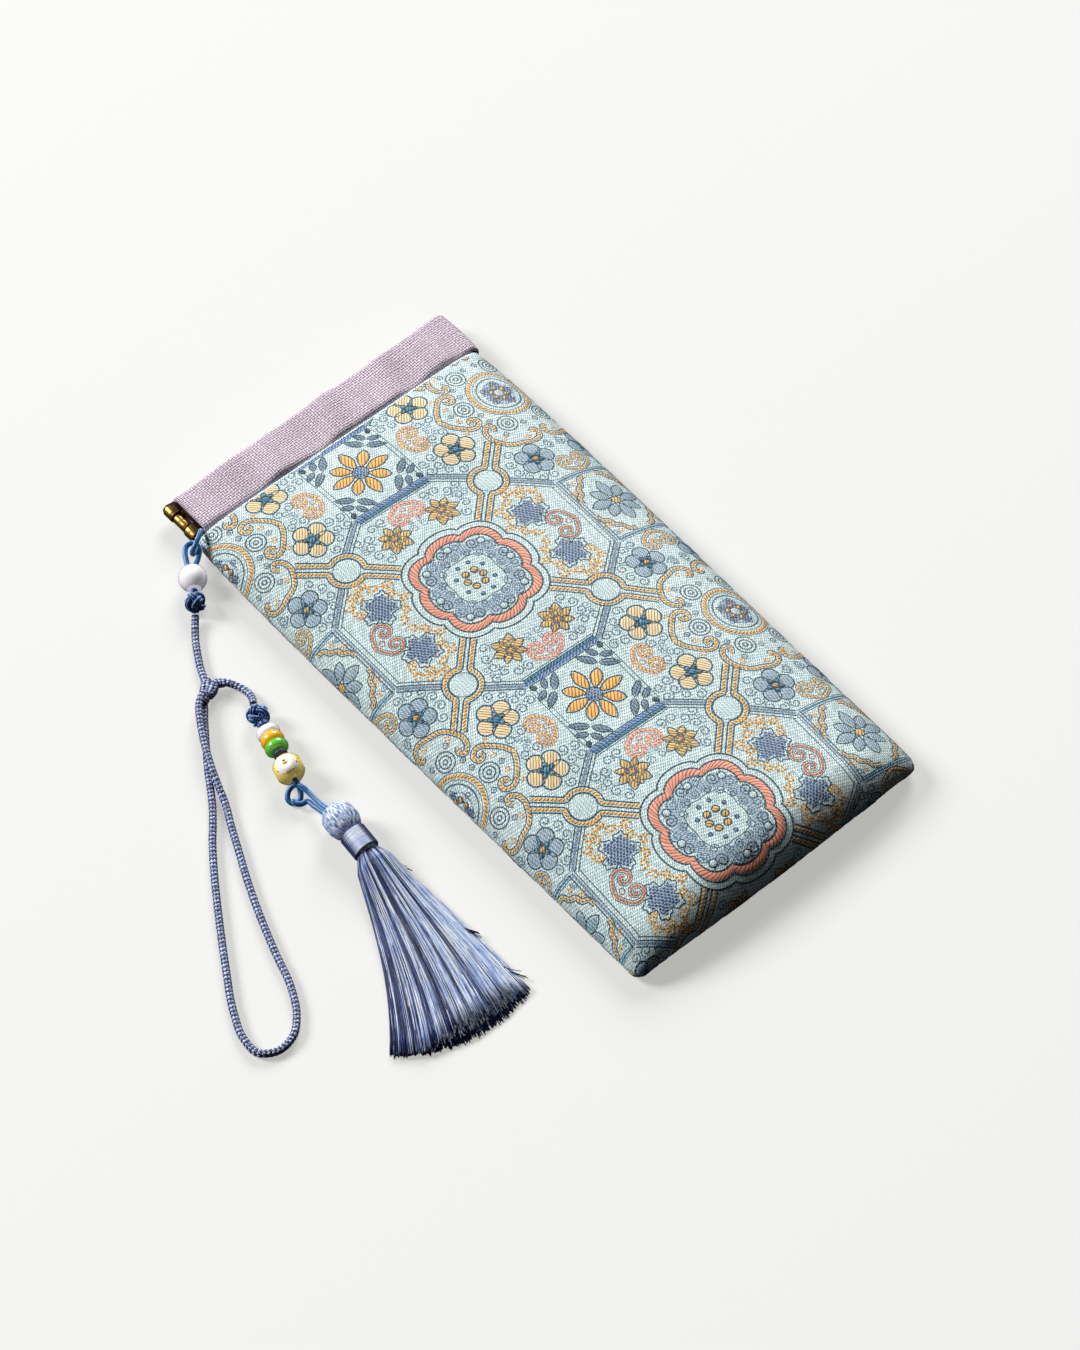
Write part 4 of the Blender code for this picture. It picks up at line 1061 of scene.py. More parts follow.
linenBand = {
    "length": 13.4, "reach": 82.1, "middleX": -0.75, "middleY": 81.3, "wall": 1.0, "thickness": 3.0,
    "stations": 240, "stripOffset": 1.65, "lipRise": 3.75, "backSag": 0.35, "flatness": 4,
    "longer": 1.3, "rippleShare": 12, "seamShare": 0.57,
}
# The hood of linen over the right hinge
linenHood = {
    "start": 6.0, "foot": 0.45, "gap": 0.45, "wall": 0.8, "rise": 1.5, "edge": 1.5, "powers": (2.0, 4.5),
    "bulge": 0.35, "lift": 0.02, "rows": (19, 14, 5), "columns": 41,   # rows over, down and along the foot
}
linenWaves = [(27.0, 60.0, 0.3, 0.42), (-17.0, 38.0, 2.2, 0.3), (9.5, -30.0, 1.1, 0.14)]
# The hinges: three knuckles and a pin at each end of the sprung strips inside the linen
hinge = {
    "left": -43.8, "right": 42.3, "height": 3.5, "clearance": 0.3, "knuckle": 3.4, "middleKnuckle": 2.8,
    "endLength": 3.2, "pin": 1.2, "pinHead": 2.8, "headHeight": 0.7, "strip": 0.4, "stripWidth": 10.4,
    "stripOverlap": 0.3, "plateInset": 0.55, "plateOffset": 0.28,
}


def bandMiddle(x):
    # The band's middle line: y leans by the pouch's skew.
    return linenBand["middleY"] + pouchShape["skew"] * x / pouchShape["width"]


def lipPlace(side, x):
    # Middle of the front (1) or back (-1) lip at x: y drawn back and z raised by (1 - q^flatness).
    band = linenBand
    q = np.clip(np.abs(x - band["middleX"]) / (band["reach"] / 2), 0, 1)
    bow = 1 - q ** band["flatness"]
    back, rise = (pouchShape["lipDip"], band["lipRise"]) if side > 0 else (0, -band["backSag"])
    return bandMiddle(x) - back * bow, hinge["height"] + side * band["stripOffset"] + rise * bow


def lipCloth(side, x, across):
    # A lip's y and z at x and a distance across it. The band grows longer towards one end, and its
    # ripple fades out at both.
    band = linenBand
    y, z = lipPlace(side, x)
    longer = band["longer"] * x / band["reach"] * np.clip(across / 5, 0, 1)
    fade = np.clip((1 - np.abs(x - band["middleX"]) / (band["reach"] / 2)) * band["rippleShare"], 0, 1)
    return y + across + longer, z, waves(x, across, linenWaves) * fade


def bandRing(length, thickness, arcSteps=8, flatSteps=14):
    # A flattened ring, clockwise seen from +X: two half circles joined by flat runs. Gives y and z.
    half, radius = (length - thickness) / 2, thickness / 2
    turn = np.linspace(math.pi / 2, -math.pi / 2, arcSteps + 1)
    flat = np.linspace(1, -1, flatSteps + 1)[1:-1] * half
    level = np.full(len(flat), radius)
    y = np.concatenate([half + radius * np.cos(turn), flat, -half - radius * np.cos(turn), -flat])
    z = np.concatenate([radius * np.sin(turn), -level, -radius * np.sin(turn), level])
    return np.append(y, y[0]), np.append(z, z[0])


def linenTube(side, inset):
    # Points of a lip's ring at each station, with ripples that grow towards the ring's outer face.
    band = linenBand
    ringY, ringZ = bandRing(band["length"] - 2 * inset, band["thickness"] - 2 * inset)
    x = band["middleX"] + np.linspace(-1, 1, band["stations"])[:, None] * band["reach"] / 2
    y, z, ripple = lipCloth(side, x, ringY[None, :])
    outside = np.clip(ringZ / 1.5, 0, 1) if side > 0 else 0
    return np.stack(np.broadcast_arrays(x, y, z + ringZ + ripple * outside), axis=-1)


def hollow(outer, inner):
    # Two tubes, one inside the other, with their ends closed.
    return [outer, inner[:, ::-1], np.stack([inner[0], outer[0]]), np.stack([outer[-1], inner[-1]])]


def walls(outer, inner):
    # A sheet with its four edges closed.
    edges = [np.stack([inner[:, 0], outer[:, 0]], axis=1), np.stack([outer[:, -1], inner[:, -1]], axis=1)]
    return hollow(outer, inner) + edges


def hoodGrids():
    # The front tube's upper skin, carried over the right hinge and down outside it: height
    # hinge + (top - hinge) cos a, and a squarer edge, (1 - e^power)^(1/power), the nearer the hinge.
    band, hood = linenBand, linenHood
    over, down, foot = hood["rows"]
    end, side = band["middleX"] + band["reach"] / 2, hinge["knuckle"] / 2 + hood["gap"] + band["wall"]
    start = np.linspace(end - hood["start"], hinge["right"], over)
    turn = np.linspace(0, math.pi / 2, down + 1)[1:]
    x = np.concatenate([start, hinge["right"] + side * np.sin(turn), np.full(foot, hinge["right"] + side)])
    fall = np.concatenate([np.ones(over), np.cos(turn), np.zeros(foot)])[:, None]
    below = np.concatenate([np.zeros(over + down), np.linspace(0, 1, foot + 1)[1:]])[:, None]
    x = x[:, None]
    power = np.interp(x, (start[0], hinge["right"]), hood["powers"])
    half = band["length"] / 2
    across = np.sin(np.linspace(-1, 1, hood["columns"]) * math.pi / 2)[None, :] * half
    past = np.clip((np.abs(across) - half + hood["edge"]) / hood["edge"], 0, 1)
    y, z, ripple = lipCloth(1, x, across)
    top = z + hood["rise"] * (1 - past**power) ** (1 / power) + ripple + hood["lift"]
    height = hinge["height"] + (top - hinge["height"]) * fall - (hinge["height"] - hood["foot"]) * below
    bulge = hood["bulge"] * np.sin(np.pi * np.clip(fall + below, 0, 1)) * (1 - (across / half) ** 2)
    outer = np.stack(np.broadcast_arrays(x, y, height), axis=-1)
    outer[..., 0] += bulge
    return walls(outer, outer - surfaceNormals(outer) * hood["wall"])


def linenLook():
    # Plain weave in two lilacs, with slubs, and painted shade in its deep hollows.
    material, tree, shader = newMaterial("lilacLinen", Roughness=0.9, Sheen_Weight=0.2, Sheen_Roughness=0.5)
    found = useGroup(
        tree, weave, Warp=color(240, 227, 238), Weft=color(228, 211, 225), Hollow=color(132, 102, 126),
        Threads=1.5, Slubs=0.35,
    )
    finish(shader, found["Color"], found["Height"], 0.2, 0.9)
    return material


print("linen band")
linen = linenLook()
for name, side, node in (("linenFront", 1, "casing_front"), ("linenBack", -1, "casing_back")):
    grids = hollow(linenTube(side, 0.0), linenTube(side, linenBand["wall"]))
    band = piece(name, grids + (hoodGrids() if side > 0 else []), [linen], [node], sharp=60)


def knuckleSpans(x):
    # Start, end and width of the three knuckles of the hinge at x, from the band's start.
    sizes = hinge
    reach = linenBand["length"] / 2 - sizes["clearance"] - sizes["headHeight"]
    low, high = bandMiddle(x) - reach, bandMiddle(x) + reach
    inner = sizes["endLength"] + sizes["clearance"]
    return [
        (low, low + sizes["endLength"], sizes["knuckle"]),
        (low + inner, high - inner, sizes["middleKnuckle"]),
        (high - sizes["endLength"], high, sizes["knuckle"]),
    ]


def slab(low, high):
    # A box between two corners as one closed grid, its ends across X.
    ring = np.array([(1, 1), (1, 0), (0, 0), (0, 1), (1, 1)])
    low, high = np.array(low, float), np.array(high, float)
    yz = low[1:] + ring * (high[1:] - low[1:])
    middle = np.broadcast_to((low[1:] + high[1:]) / 2, yz.shape)
    rows = [(low[0], middle), (low[0], yz), (high[0], yz), (high[0], middle)]
    return np.stack([np.column_stack([np.full(len(yz), x), row]) for x, row in rows])


def flexStrip(side):
    # The strip that follows its lip, and its knuckles with the plates that carry them. The front
    # strip has the two outer knuckles and the back strip the middle one.
    sizes = hinge
    reach = linenBand["reach"] / 2 + 2 * sizes["clearance"]
    x = linenBand["middleX"] + np.linspace(-reach, reach, 81)[:, None]
    ringY, ringZ = bandRing(sizes["stripWidth"], sizes["strip"], 3, 2)
    y, z = lipPlace(side, x)
    strip = np.stack(np.broadcast_arrays(x, y + ringY, z + ringZ), axis=-1)
    ends = [np.broadcast_to(row.mean(axis=0), row.shape)[None] for row in (strip[0], strip[-1])]
    grids = [np.concatenate([ends[0], strip, ends[1]])]
    height = sizes["height"] + side * linenBand["stripOffset"]
    bore = sizes["pin"] / 2 + sizes["clearance"]
    for x in (sizes["left"], sizes["right"]):
        for start, end, width in (knuckleSpans(x)[::2] if side > 0 else knuckleSpans(x)[1:2]):
            wall = rounded([(bore, start), (width / 2, start), (width / 2, end), (bore, end)], 0.25)
            inside = [(bore, (start + end) / 2)]
            profile = np.concatenate([inside, wall, inside])
            grids.append(turnedPiece(profile, (x, 0, sizes["height"]), (0, 1, 0)))
            stripEnd = linenBand["middleX"] + math.copysign(reach - sizes["stripOverlap"], x)
            plate = sorted([
                height + side * sizes["plateOffset"],
                sizes["height"] + side * (width / 2 - sizes["plateInset"]),
            ])
            grids.append(slab((min(stripEnd, x), start, plate[0]), (max(stripEnd, x), end, plate[1])))
    return grids


def hingePin(x):
    # A pin with a domed head at both ends, turned from one half profile and its mirror.
    head, shank, half = hinge["pinHead"] / 2, hinge["pin"] / 2, linenBand["length"] / 2
    top = [(shank, 0.72), (head, 0.7), (head, 0.5), (head * 0.55, 0.12), (0.0, 0.0)]
    profile = [(radius, half - below) for radius, below in top]
    profile = [(radius, -place) for radius, place in profile[::-1]] + profile
    return [turnedPiece(rounded(profile, 0.14), (x, bandMiddle(x), hinge["height"]), (0, 1, 0))]


def metalLook(name, bright, dull, roughness):
    # Worn metal: bright and dull mixed by noise, rougher where it is dull.
    material, tree, shader = newMaterial(name, Metallic=1.0, Roughness=0.3)
    found = useGroup(tree, mottle, First=bright, Second=dull, Scale=620.0, Balance=0.56)
    feed(tree, shader.inputs["Roughness"], spread(tree, found["Mask"], 0.0, 1.0, roughness, roughness + 0.25))
    finish(shader, found["Color"], found["Mask"], 0.02, 0.4)
    return material


print("hinges")
brass = metalLook("agedBrass", color(176, 140, 72), color(98, 74, 36), 0.34)
# Dark brown for the strips and plates: painted shade in the slot between the knuckles and the linen.
paintedShadeMetal = metalLook("bluedSpring", color(72, 54, 40), color(38, 28, 24), 0.38)
for name, grids, node in (
    ("flexStripFront", flexStrip(1), "flex_strip_front"), ("flexStripBack", flexStrip(-1), "flex_strip_back"),
    ("hingePinLeft", hingePin(hinge["left"]), "hinge_pin_left"),
    ("hingePinRight", hingePin(hinge["right"]), "hinge_pin_right"),
):
    # The strips and plates take the painted shade.
    shadeSlots = [int(grid.shape[1] < 12) for grid in grids]   # strips and plates have few sides
    piece(name, grids, [brass, paintedShadeMetal], [node], slots=shadeSlots, sharp=50)


# The lanyard's cords. Routes are in millimetres and follow each cord as it lies

sideLoopRoute = [
    (-42.9, 73.7, 6.8), (-45.0, 72.0, 7.0), (-46.9, 70.9, 6.6), (-48.2, 70.6, 5.3),
    (-47.7, 70.9, 3.7), (-46.8, 71.7, 2.9), (-45.9, 72.6, 2.6),
]
lanyardLoopRoute = [
    (-52.1, 66.8, 3.8), (-51.3, 68.2, 3.9), (-50.3, 70.2, 4.1), (-49.3, 71.9, 4.5),
    (-47.9, 73.1, 4.9), (-46.5, 72.9, 5.1), (-45.9, 71.6, 5.1), (-46.3, 70.2, 4.8),
    (-47.8, 68.8, 4.3), (-49.9, 67.3, 3.9), (-50.8, 65.9, 3.8),
]
lanyardCordRoute = [
    (-57.8, 57.0, 2.3), (-59.7, 54.7, 1.5), (-61.9, 51.7, 1.1), (-64.0, 48.2, 1.1),
    (-66.1, 44.3, 1.2), (-67.6, 40.9, 1.7),
]
wristLoopRoute = [
    (-71.9, 36.4, 3.1), (-73.7, 34.8, 3.1), (-76.3, 30.9, 3.1), (-78.9, 26.3, 3.2),
    (-81.1, 21.7, 3.2), (-82.9, 17.4, 2.9), (-84.2, 13.4, 2.0), (-85.6, 9.3, 1.2),
    (-87.9, 4.5, 1.1), (-91.3, -3.1, 1.1), (-94.5, -10.2, 1.1), (-97.4, -17.4, 1.1),
    (-101.6, -29.3, 1.1), (-105.2, -40.5, 1.1), (-108.2, -46.0, 1.1), (-112.6, -50.2, 1.1),
    (-117.6, -51.0, 1.1), (-121.2, -48.6, 1.1), (-121.4, -43.4, 1.1), (-119.0, -36.9, 1.1),
    (-112.9, -26.0, 1.1), (-106.4, -15.2, 1.1), (-98.5, -2.9, 1.1), (-94.2, 3.2, 1.1),
    (-91.0, 7.2, 1.1), (-88.1, 11.1, 1.1), (-85.5, 15.2, 1.1), (-83.1, 19.2, 1.1),
    (-80.4, 23.3, 1.1), (-77.5, 27.5, 1.1), (-74.6, 31.7, 1.1), (-71.8, 35.4, 1.1),
]
charmCordRoute = [
    (-66.6, 38.5, 2.0), (-64.5, 37.3, 1.6), (-62.6, 34.6, 1.2), (-61.9, 31.6, 1.3),
    (-62.6, 28.6, 2.1), (-63.6, 27.0, 2.7),
]
tasselCordRoute = [
    (-69.8, 1.5, 2.1), (-70.5, 0.3, 1.3), (-71.5, -0.5, 0.8), (-72.6, -0.5, 0.8),
    (-73.4, 0.3, 0.9), (-73.5, 1.4, 1.1), (-72.8, 2.3, 1.6), (-71.8, 2.8, 2.2),
    (-70.8, 2.7, 2.8), (-70.0, 2.0, 3.2), (-69.6, 0.8, 3.4), (-69.4, -0.9, 3.1),
    (-69.3, -4.7, 3.2), (-69.1, -9.0, 4.0),
]
secondStrandRoute = [
    (-73.2, 0.2, 2.2), (-73.1, -1.2, 2.0), (-72.1, -2.1, 1.9), (-70.8, -2.3, 1.9),
    (-70.5, -4.6, 2.4), (-70.3, -9.3, 3.6),
]
places = {
    "whiteBead": (-52.2, 65.2, 3.7), "upperKnot": (-55.9, 59.5, 3.1), "fork": (-69.5, 37.7, 2.0),
    "lowerKnot": (-64.8, 23.6, 3.2), "coinBead": (-69.2, 6.0, 3.9), "tasselHead": (-68.9, -13.0, 4.3),
}
places = {name: np.array(place) for name, place in places.items()}
lanyard = {
    "braid": 2.0, "satin": 1.35, "loop": 1.2, "clearance": 0.3, "upperKnot": 5.9, "lowerKnot": 6.2,
    "lowerNeck": 2.6, "forkLength": 5.6, "tasselWay": (-0.05, -0.996, -0.075),
    "braidSpacing": 0.3, "satinSpacing": 0.25,
}
# Plaits: strands each way, length of a turn, size of a strand, how far it rides over, step and core
braidPlait = {
    "strands": 6, "lay": 6.6, "width": 0.66, "thickness": 0.34, "rise": 0.13, "step": 0.34, "core": 0.6,
}
sleevePlait = {
    "strands": 7, "lay": 6.0, "width": 0.8, "thickness": 0.42, "rise": 0.16, "step": 0.2, "core": 0.7,
}
# A button knot: bights and turns of its strand, reach to the poles, and shares of the strand
knotShape = {
    "bights": 4, "turns": 3, "poles": 0.93, "squash": 0.93, "rise": 0.34, "apart": 0.29,
    "halfWidth": 0.3, "halfHeight": 0.42,
}
toBead = unit(places["whiteBead"] - places["upperKnot"])
beadAxis = unit(places["coinBead"] - places["lowerKnot"])
tasselWay = unit(lanyard["tasselWay"])


def plait(path, radius, strands, lay, width, thickness, rise, step, core):
    # A round plait: two families of strands wind opposite ways, at angle 2 pi run / lay, and pass
    # over and under each other, their distance from the middle being r + rise cos(2 pi n run / lay).
    # Gives the strands that wind one way, then the others with the core.
    run = runAlong(path)
    at = np.linspace(0, run[-1], max(8, round(run[-1] / step)) + 1)
    middle = np.stack([np.interp(at, run, path[:, axis]) for axis in range(3)], axis=1)
    radius = np.interp(at, run, np.broadcast_to(radius, (len(path),)))
    _, side, above = sideways(middle)
    size = np.ones(len(at))
    size[[0, -1]] = 0
    grids = []
    for direction in (1, -1):
        wave = direction * np.cos(2 * math.pi * strands * at / lay)
        distance = (radius - thickness / 2 - rise + rise * wave)[:, None]
        for number in range(strands):
            angle = (direction * 2 * math.pi * at / lay + 2 * math.pi * number / strands)[:, None]
            out = np.cos(angle) * side + np.sin(angle) * above
            strand = middle + distance * out
            along = unit(np.gradient(strand, axis=0))
            flat = unit(np.cross(out, along))
            lift = np.cross(along, flat)
            grids.append(ovalTube(strand, flat, lift, width / 2 * size, thickness / 2 * size, 6))
    inner = evenly(middle, 1.0)
    reach = np.interp(runAlong(inner), runAlong(middle), radius * core)
    reach[[0, -1]] = 0
    return grids + [tube(inner, reach, 8)]


def buttonKnot(middle, way, size, strand):
    # A doubled strand on a ball, longitude turns t and height sin(bights t), riding over and under
    # itself by rise sin(2 bights t), round a core.
    shape = knotShape
    t = np.linspace(0, 2 * math.pi, 421)[:, None]
    rise = strand * shape["rise"]
    ball = size / 2 - strand / 2 - rise
    height = shape["poles"] * np.sin(shape["bights"] * t)
    radius = ball + rise * np.sin(2 * shape["bights"] * t)
    side = unit(np.cross(way, (0.2, 0.3, 1.0)))
    above = np.cross(side, way)
    level = np.cos(shape["turns"] * t) * side + np.sin(shape["turns"] * t) * above
    out = np.cos(np.arcsin(height)) * level + height * way * shape["squash"]
    path = middle + radius * out
    along = np.gradient(path, axis=0)
    along[0] = along[-1] = path[1] - path[-2]
    along = unit(along)
    flat = unit(np.cross(unit(out), along))
    lift = np.cross(along, flat)
    wide, high = shape["halfWidth"] * strand, shape["halfHeight"] * strand
    strands = [
        ovalTube(path + apart * strand * flat, flat, lift, wide, high, 10)
        for apart in (-shape["apart"], shape["apart"])
    ]
    arc = [(ball * math.cos(a), ball * math.sin(a)) for a in np.linspace(-math.pi / 2, math.pi / 2, 13)]
    return strands + [turnedPiece(arc, middle, way, 20)]


def neck(knot, way, diameter, end):
    # The stretch of cord that leaves a knot, from inside it to end.
    return closedTube(places[knot] + np.linspace(1.5, end, 9)[:, None] * way, diameter / 2)


def satinLook(name, thread, paintedGlow, shade):
    # Satin: a dark body whose threads turn to a pale colour where they turn away from the eye, a painted
    # sheen. The same colour tints the material's own sheen.
    material, tree, shader = newMaterial(
        name, Roughness=0.3, Sheen_Weight=0.5, Sheen_Roughness=0.3, Sheen_Tint=paintedGlow
    )
    found = useGroup(
        tree, stitches, Thread=thread, Gap=shade, Pitch=0.5, Row=9.0, Slant=0.35, Fill=0.8, Variety=0.3
    )
    # Painted sheen: the pale colour laid along the cord's edges as they turn away.
    shown = blendColors(tree, facing(tree, 0.5, 0.28, 0.72, 0.85), found["Color"], paintedGlow)
    finish(shader, shown, found["Height"], 0.03, 0.5)
    return material


def braidLook(name, fleck, ground, fill):
    # Matt yarn with flecks of a second colour.
    material, tree, shader = newMaterial(
        name, Roughness=0.55, Sheen_Weight=0.3, Sheen_Tint=color(200, 214, 250)
    )
    found = useGroup(
        tree, stitches, Thread=fleck, Gap=ground, Pitch=0.85, Row=9.0, Slant=0.3, Fill=fill, Variety=0.5
    )
    finish(shader, found["Color"], found["Height"], 0.04, 0.5)
    return material


# Each satin: thread, painted sheen colour, and what shows between its threads.
satin = satinLook("satinCord", color(20, 54, 112), color(150, 192, 238), color(6, 18, 50))
loopSatin = satinLook("loopSatin", color(42, 104, 166), color(166, 210, 244), color(12, 50, 96))
paleYarn = braidLook("paleYarn", color(186, 198, 236), color(48, 62, 118), 0.72)
navyYarn = braidLook("navyYarn", color(26, 36, 86), color(6, 10, 36), 0.4)


def plaitPiece(name, replaces, *plaits):
    # Plaits joined to one piece, the strands that wind one way in pale yarn and the others in navy.
    yarns = [int(number >= len(grids) // 2) for grids in plaits for number in range(len(grids))]
    return piece(name, sum(plaits, []), [paleYarn, navyYarn], replaces, slots=yarns)


def satinPiece(name, path, diameter, replaces=()):
    # A plain satin cord along a path.
    return piece(name, [closedTube(path, diameter / 2)], [loopSatin], replaces)


def satinPath(route):
    # A satin cord's smooth path.
    return smoothRoute(route, lanyard["satinSpacing"])


print("braided cord")
overFork = places["fork"] + (0, 0, 0.4)
braidedPath = smoothRoute([*lanyardCordRoute, overFork, *wristLoopRoute], lanyard["braidSpacing"])
braided = plaitPiece(
    "braidedCord", ["lanyard_cord", "wrist_loop"], plait(braidedPath, lanyard["braid"] / 2, **braidPlait)
)

# The fork: a braided sleeve over the cord, and a web of the same braid that narrows into the charm's cord
forkWay = unit((np.array(wristLoopRoute[0]) - lanyardCordRoute[-1]) * (1, 1, 0))
f = np.linspace(-1, 1, 61)
sleevePath = places["fork"] + f[:, None] * forkWay * lanyard["forkLength"] * 0.62
sleeveRadius = 1.02 + 0.62 * (1 - f**2) ** 1.5
webRoute = places["fork"] + np.array([
    (-0.7, -1.9, 0.3), (0.9, -1.0, 0.1), (2.7, 0.1, 0.0), (5.0, -0.8, -0.4),
])
webPath = smoothRoute(webRoute, 0.1)
f = np.linspace(0, 1, len(webPath))
webRadius = 1.05 + 0.75 * np.sin(math.pi * np.clip(f * 1.1, 0, 1)) ** 1.2 * (1 - f)
fork = plaitPiece(
    "cordFork", ["cord_fork"], plait(sleevePath, sleeveRadius, **sleevePlait),
    plait(webPath, webRadius, **sleevePlait),
)
charmPath = smoothRoute(charmCordRoute, lanyard["braidSpacing"])
charm = plaitPiece("charmCord", ["charm_cord"], plait(charmPath, lanyard["braid"] / 2, **braidPlait))

print("knots and satin cords")
upperGrids = buttonKnot(places["upperKnot"], toBead, lanyard["upperKnot"], 1.3)
upperGrids.append(neck("upperKnot", toBead, lanyard["braid"], 4.0))
upper = piece("upperKnot", upperGrids, [satin], ["button_knot_upper"])
lowerGrids = buttonKnot(places["lowerKnot"], beadAxis, lanyard["lowerKnot"], 1.35)
lowerGrids.append(neck("lowerKnot", beadAxis, lanyard["lowerNeck"], 4.5))
lower = piece("lowerKnot", lowerGrids, [satin], ["button_knot_lower"])
sideLoop = satinPiece("sideLoop", satinPath(sideLoopRoute), lanyard["loop"], ["side_loop"])
lanyardLoop = satinPiece("lanyardLoop", satinPath(lanyardLoopRoute), lanyard["satin"], ["lanyard_loop"])

# Beads threaded on the satin cord from the lower knot

beadSizes = {
    "disc": 5.8, "discLength": 2.1, "discPlump": 0.2, "collar": 3.6, "collarLength": 1.5, "white": 7.0,
    "whiteLength": 6.0, "bore": 1.95, "whiteBore": 3.6, "squareness": 0.62,
}
coinShape = {
    "width": 7.6, "length": 7.144, "face": 6.9, "roll": 14.3, "squareness": 5.0, "hole": 0.46,
    "holeWire": 0.13, "arcAway": 2.62, "arcBow": 0.3, "arcHalf": 1.3, "arcWire": 0.15,
}
# A pale face from its square hole to its edge: reach and lift off the bead's flat side
coinFaceRings = [
    (0.42, -0.3), (0.42, 0.03), (0.55, 0.08), (1.2, 0.08), (1.7, 0.08), (2.1, 0.08), (2.45, 0.05), (2.5, -0.4)
]


def ballProfile(width, length, bore, steps=22):
    # A round bead: an arc as wide as the bead, closed inside by its bore.
    reach = math.asin(min(0.98, length / width))
    angle = np.linspace(-reach, reach, steps)
    arc = np.stack([width / 2 * np.cos(angle), length / 2 * np.sin(angle) / math.sin(reach)], axis=1)
    return threaded(arc, length, bore)


def discProfile(width, length, bore, steps=26):
    # A flat bead: its side follows (cos a)^squareness and its ends sin a, so it is fuller than a torus.
    angle = np.linspace(-math.pi / 2, math.pi / 2, steps)
    rim = length / 2
    side = width / 2 - rim + rim * np.cos(angle) ** beadSizes["squareness"]
    return threaded(np.stack([side, rim * np.sin(angle)], axis=1), length, bore)


def threaded(arc, length, bore):
    # A bead's outer arc joined to its bore at both ends and closed along the bore's middle.
    inside = [(bore / 2, 0.0)]
    return np.concatenate([inside, [(bore / 2, -length / 2)], arc, [(bore / 2, length / 2)], inside])


def glassLook(name, body, deep, translucence=0.35, paintedGlow=0.16):
    # Cloudy glass: a clear coat over a body that scatters, deeper in colour where it turns away, a painted
    # shade at its rims.
    # A faint emission of its own colour is painted light, for the light that comes through it from behind.
    material, tree, shader = newMaterial(
        name, Roughness=0.12, Coat_Weight=1.0, Coat_Roughness=0.02, Subsurface_Weight=translucence,
        Subsurface_Scale=0.0015, Subsurface_Radius=(1.0, 1.0, 1.0), Emission_Color=body,
        Emission_Strength=paintedGlow,
    )
    dimmer = tuple(0.9 * part for part in body[:3]) + (1.0,)
    found = useGroup(tree, mottle, First=body, Second=dimmer, Scale=300.0, Balance=0.55)
    # Painted shade: the deeper colour toward the rims.
    shown = blendColors(tree, facing(tree, 0.4, 0.3, 0.95, 0.7), found["Color"], deep)
    feed(tree, shader.inputs["Base Color"], shown)
    return material


print("beads")
whiteLook = glassLook("whiteGlass", color(255, 250, 255), color(232, 222, 238), 0.12)
whiteProfile = ballProfile(beadSizes["white"], beadSizes["whiteLength"], beadSizes["whiteBore"])
whiteGrid = turnedPiece(whiteProfile, places["whiteBead"], toBead)
whiteBead = piece("whiteBead", [whiteGrid], [whiteLook], ["white_bead"], sharp=60)

run = lanyard["lowerKnot"] / 2 + beadSizes["collarLength"] + lanyard["clearance"]   # from the knot's middle
cordStart = run
discLength = beadSizes["discLength"]
for name, glass, deep in (
    ("white", (255, 252, 255), (214, 210, 226)), ("amber", (255, 190, 36), (238, 152, 10)),
    ("green", (104, 200, 70), (46, 150, 44)),
):
    profile = discProfile(beadSizes["disc"], discLength + beadSizes["discPlump"], beadSizes["bore"])
    disc = turnedPiece(profile, places["lowerKnot"] + beadAxis * (run + discLength / 2), beadAxis)
    look = glassLook(f"{name}DiscGlass", color(*glass), color(*deep))
    piece(f"{name}Disc", [disc], [look], [f"disc_bead_{name}"])
    run += discLength + lanyard["clearance"]
profile = discProfile(beadSizes["collar"], beadSizes["collarLength"], beadSizes["bore"])
collarPlace = places["lowerKnot"] + beadAxis * (run + beadSizes["collarLength"] / 2)
collar = turnedPiece(profile, collarPlace, beadAxis)
piece("cordCollar", [collar], [navyYarn], ["cord_collar"])
coinRun = run + beadSizes["collarLength"] + lanyard["clearance"] + coinShape["width"] / 2


def coinBall():
    # A ball whose four sides are pressed flat: radius min(r, half face / greatest share of the two axes).
    shape = coinShape
    half = shape["face"] / 2
    profile = ballProfile(shape["width"], shape["length"], beadSizes["bore"], 48)
    grid = turnedPiece(profile, (0, 0, 0), (0, 0, 1), 96)
    wide = np.abs(grid[..., :2]).max(axis=-1)
    soft = half * np.tanh(wide / half * 2.2) / np.tanh(2.2 * shape["width"] / 2 / half)
    pressed = np.minimum(wide, half - 0.06 + 0.06 * soft / half) / np.maximum(wide, 1e-9)
    share = np.where(wide > half * 0.75, pressed, 1.0)
    return grid * np.stack([share, share, np.ones_like(share)], axis=-1)


def turnedRound(degrees):
    # The turn about Z that takes points to the left by an angle, for points @ turn.
    across, along = math.cos(math.radians(degrees)), math.sin(math.radians(degrees))
    return np.array([(across, along, 0), (-along, across, 0), (0, 0, 1)])


def alongWay(points, way):
    # Points whose Z is turned to a direction.
    return points @ np.array(Vector(way).to_track_quat("Z", "Y").to_matrix()).T


def onCoinBead(points):
    # From the bead's own frame, Z along the cord, to its place on the lanyard, one flat face turned up.
    rolled = points @ turnedRound(coinShape["roll"])
    return alongWay(rolled, beadAxis) + places["lowerKnot"] + beadAxis * coinRun


def onFlatSide(flat, lift):
    # Points of a plan raised to the bead's surface: the ball's own height, cut off at the flat side.
    ball = np.sqrt(np.clip((coinShape["width"] / 2) ** 2 - (flat**2).sum(axis=1), 0, None))
    return np.column_stack([flat, np.minimum(coinShape["face"] / 2, ball) + lift])


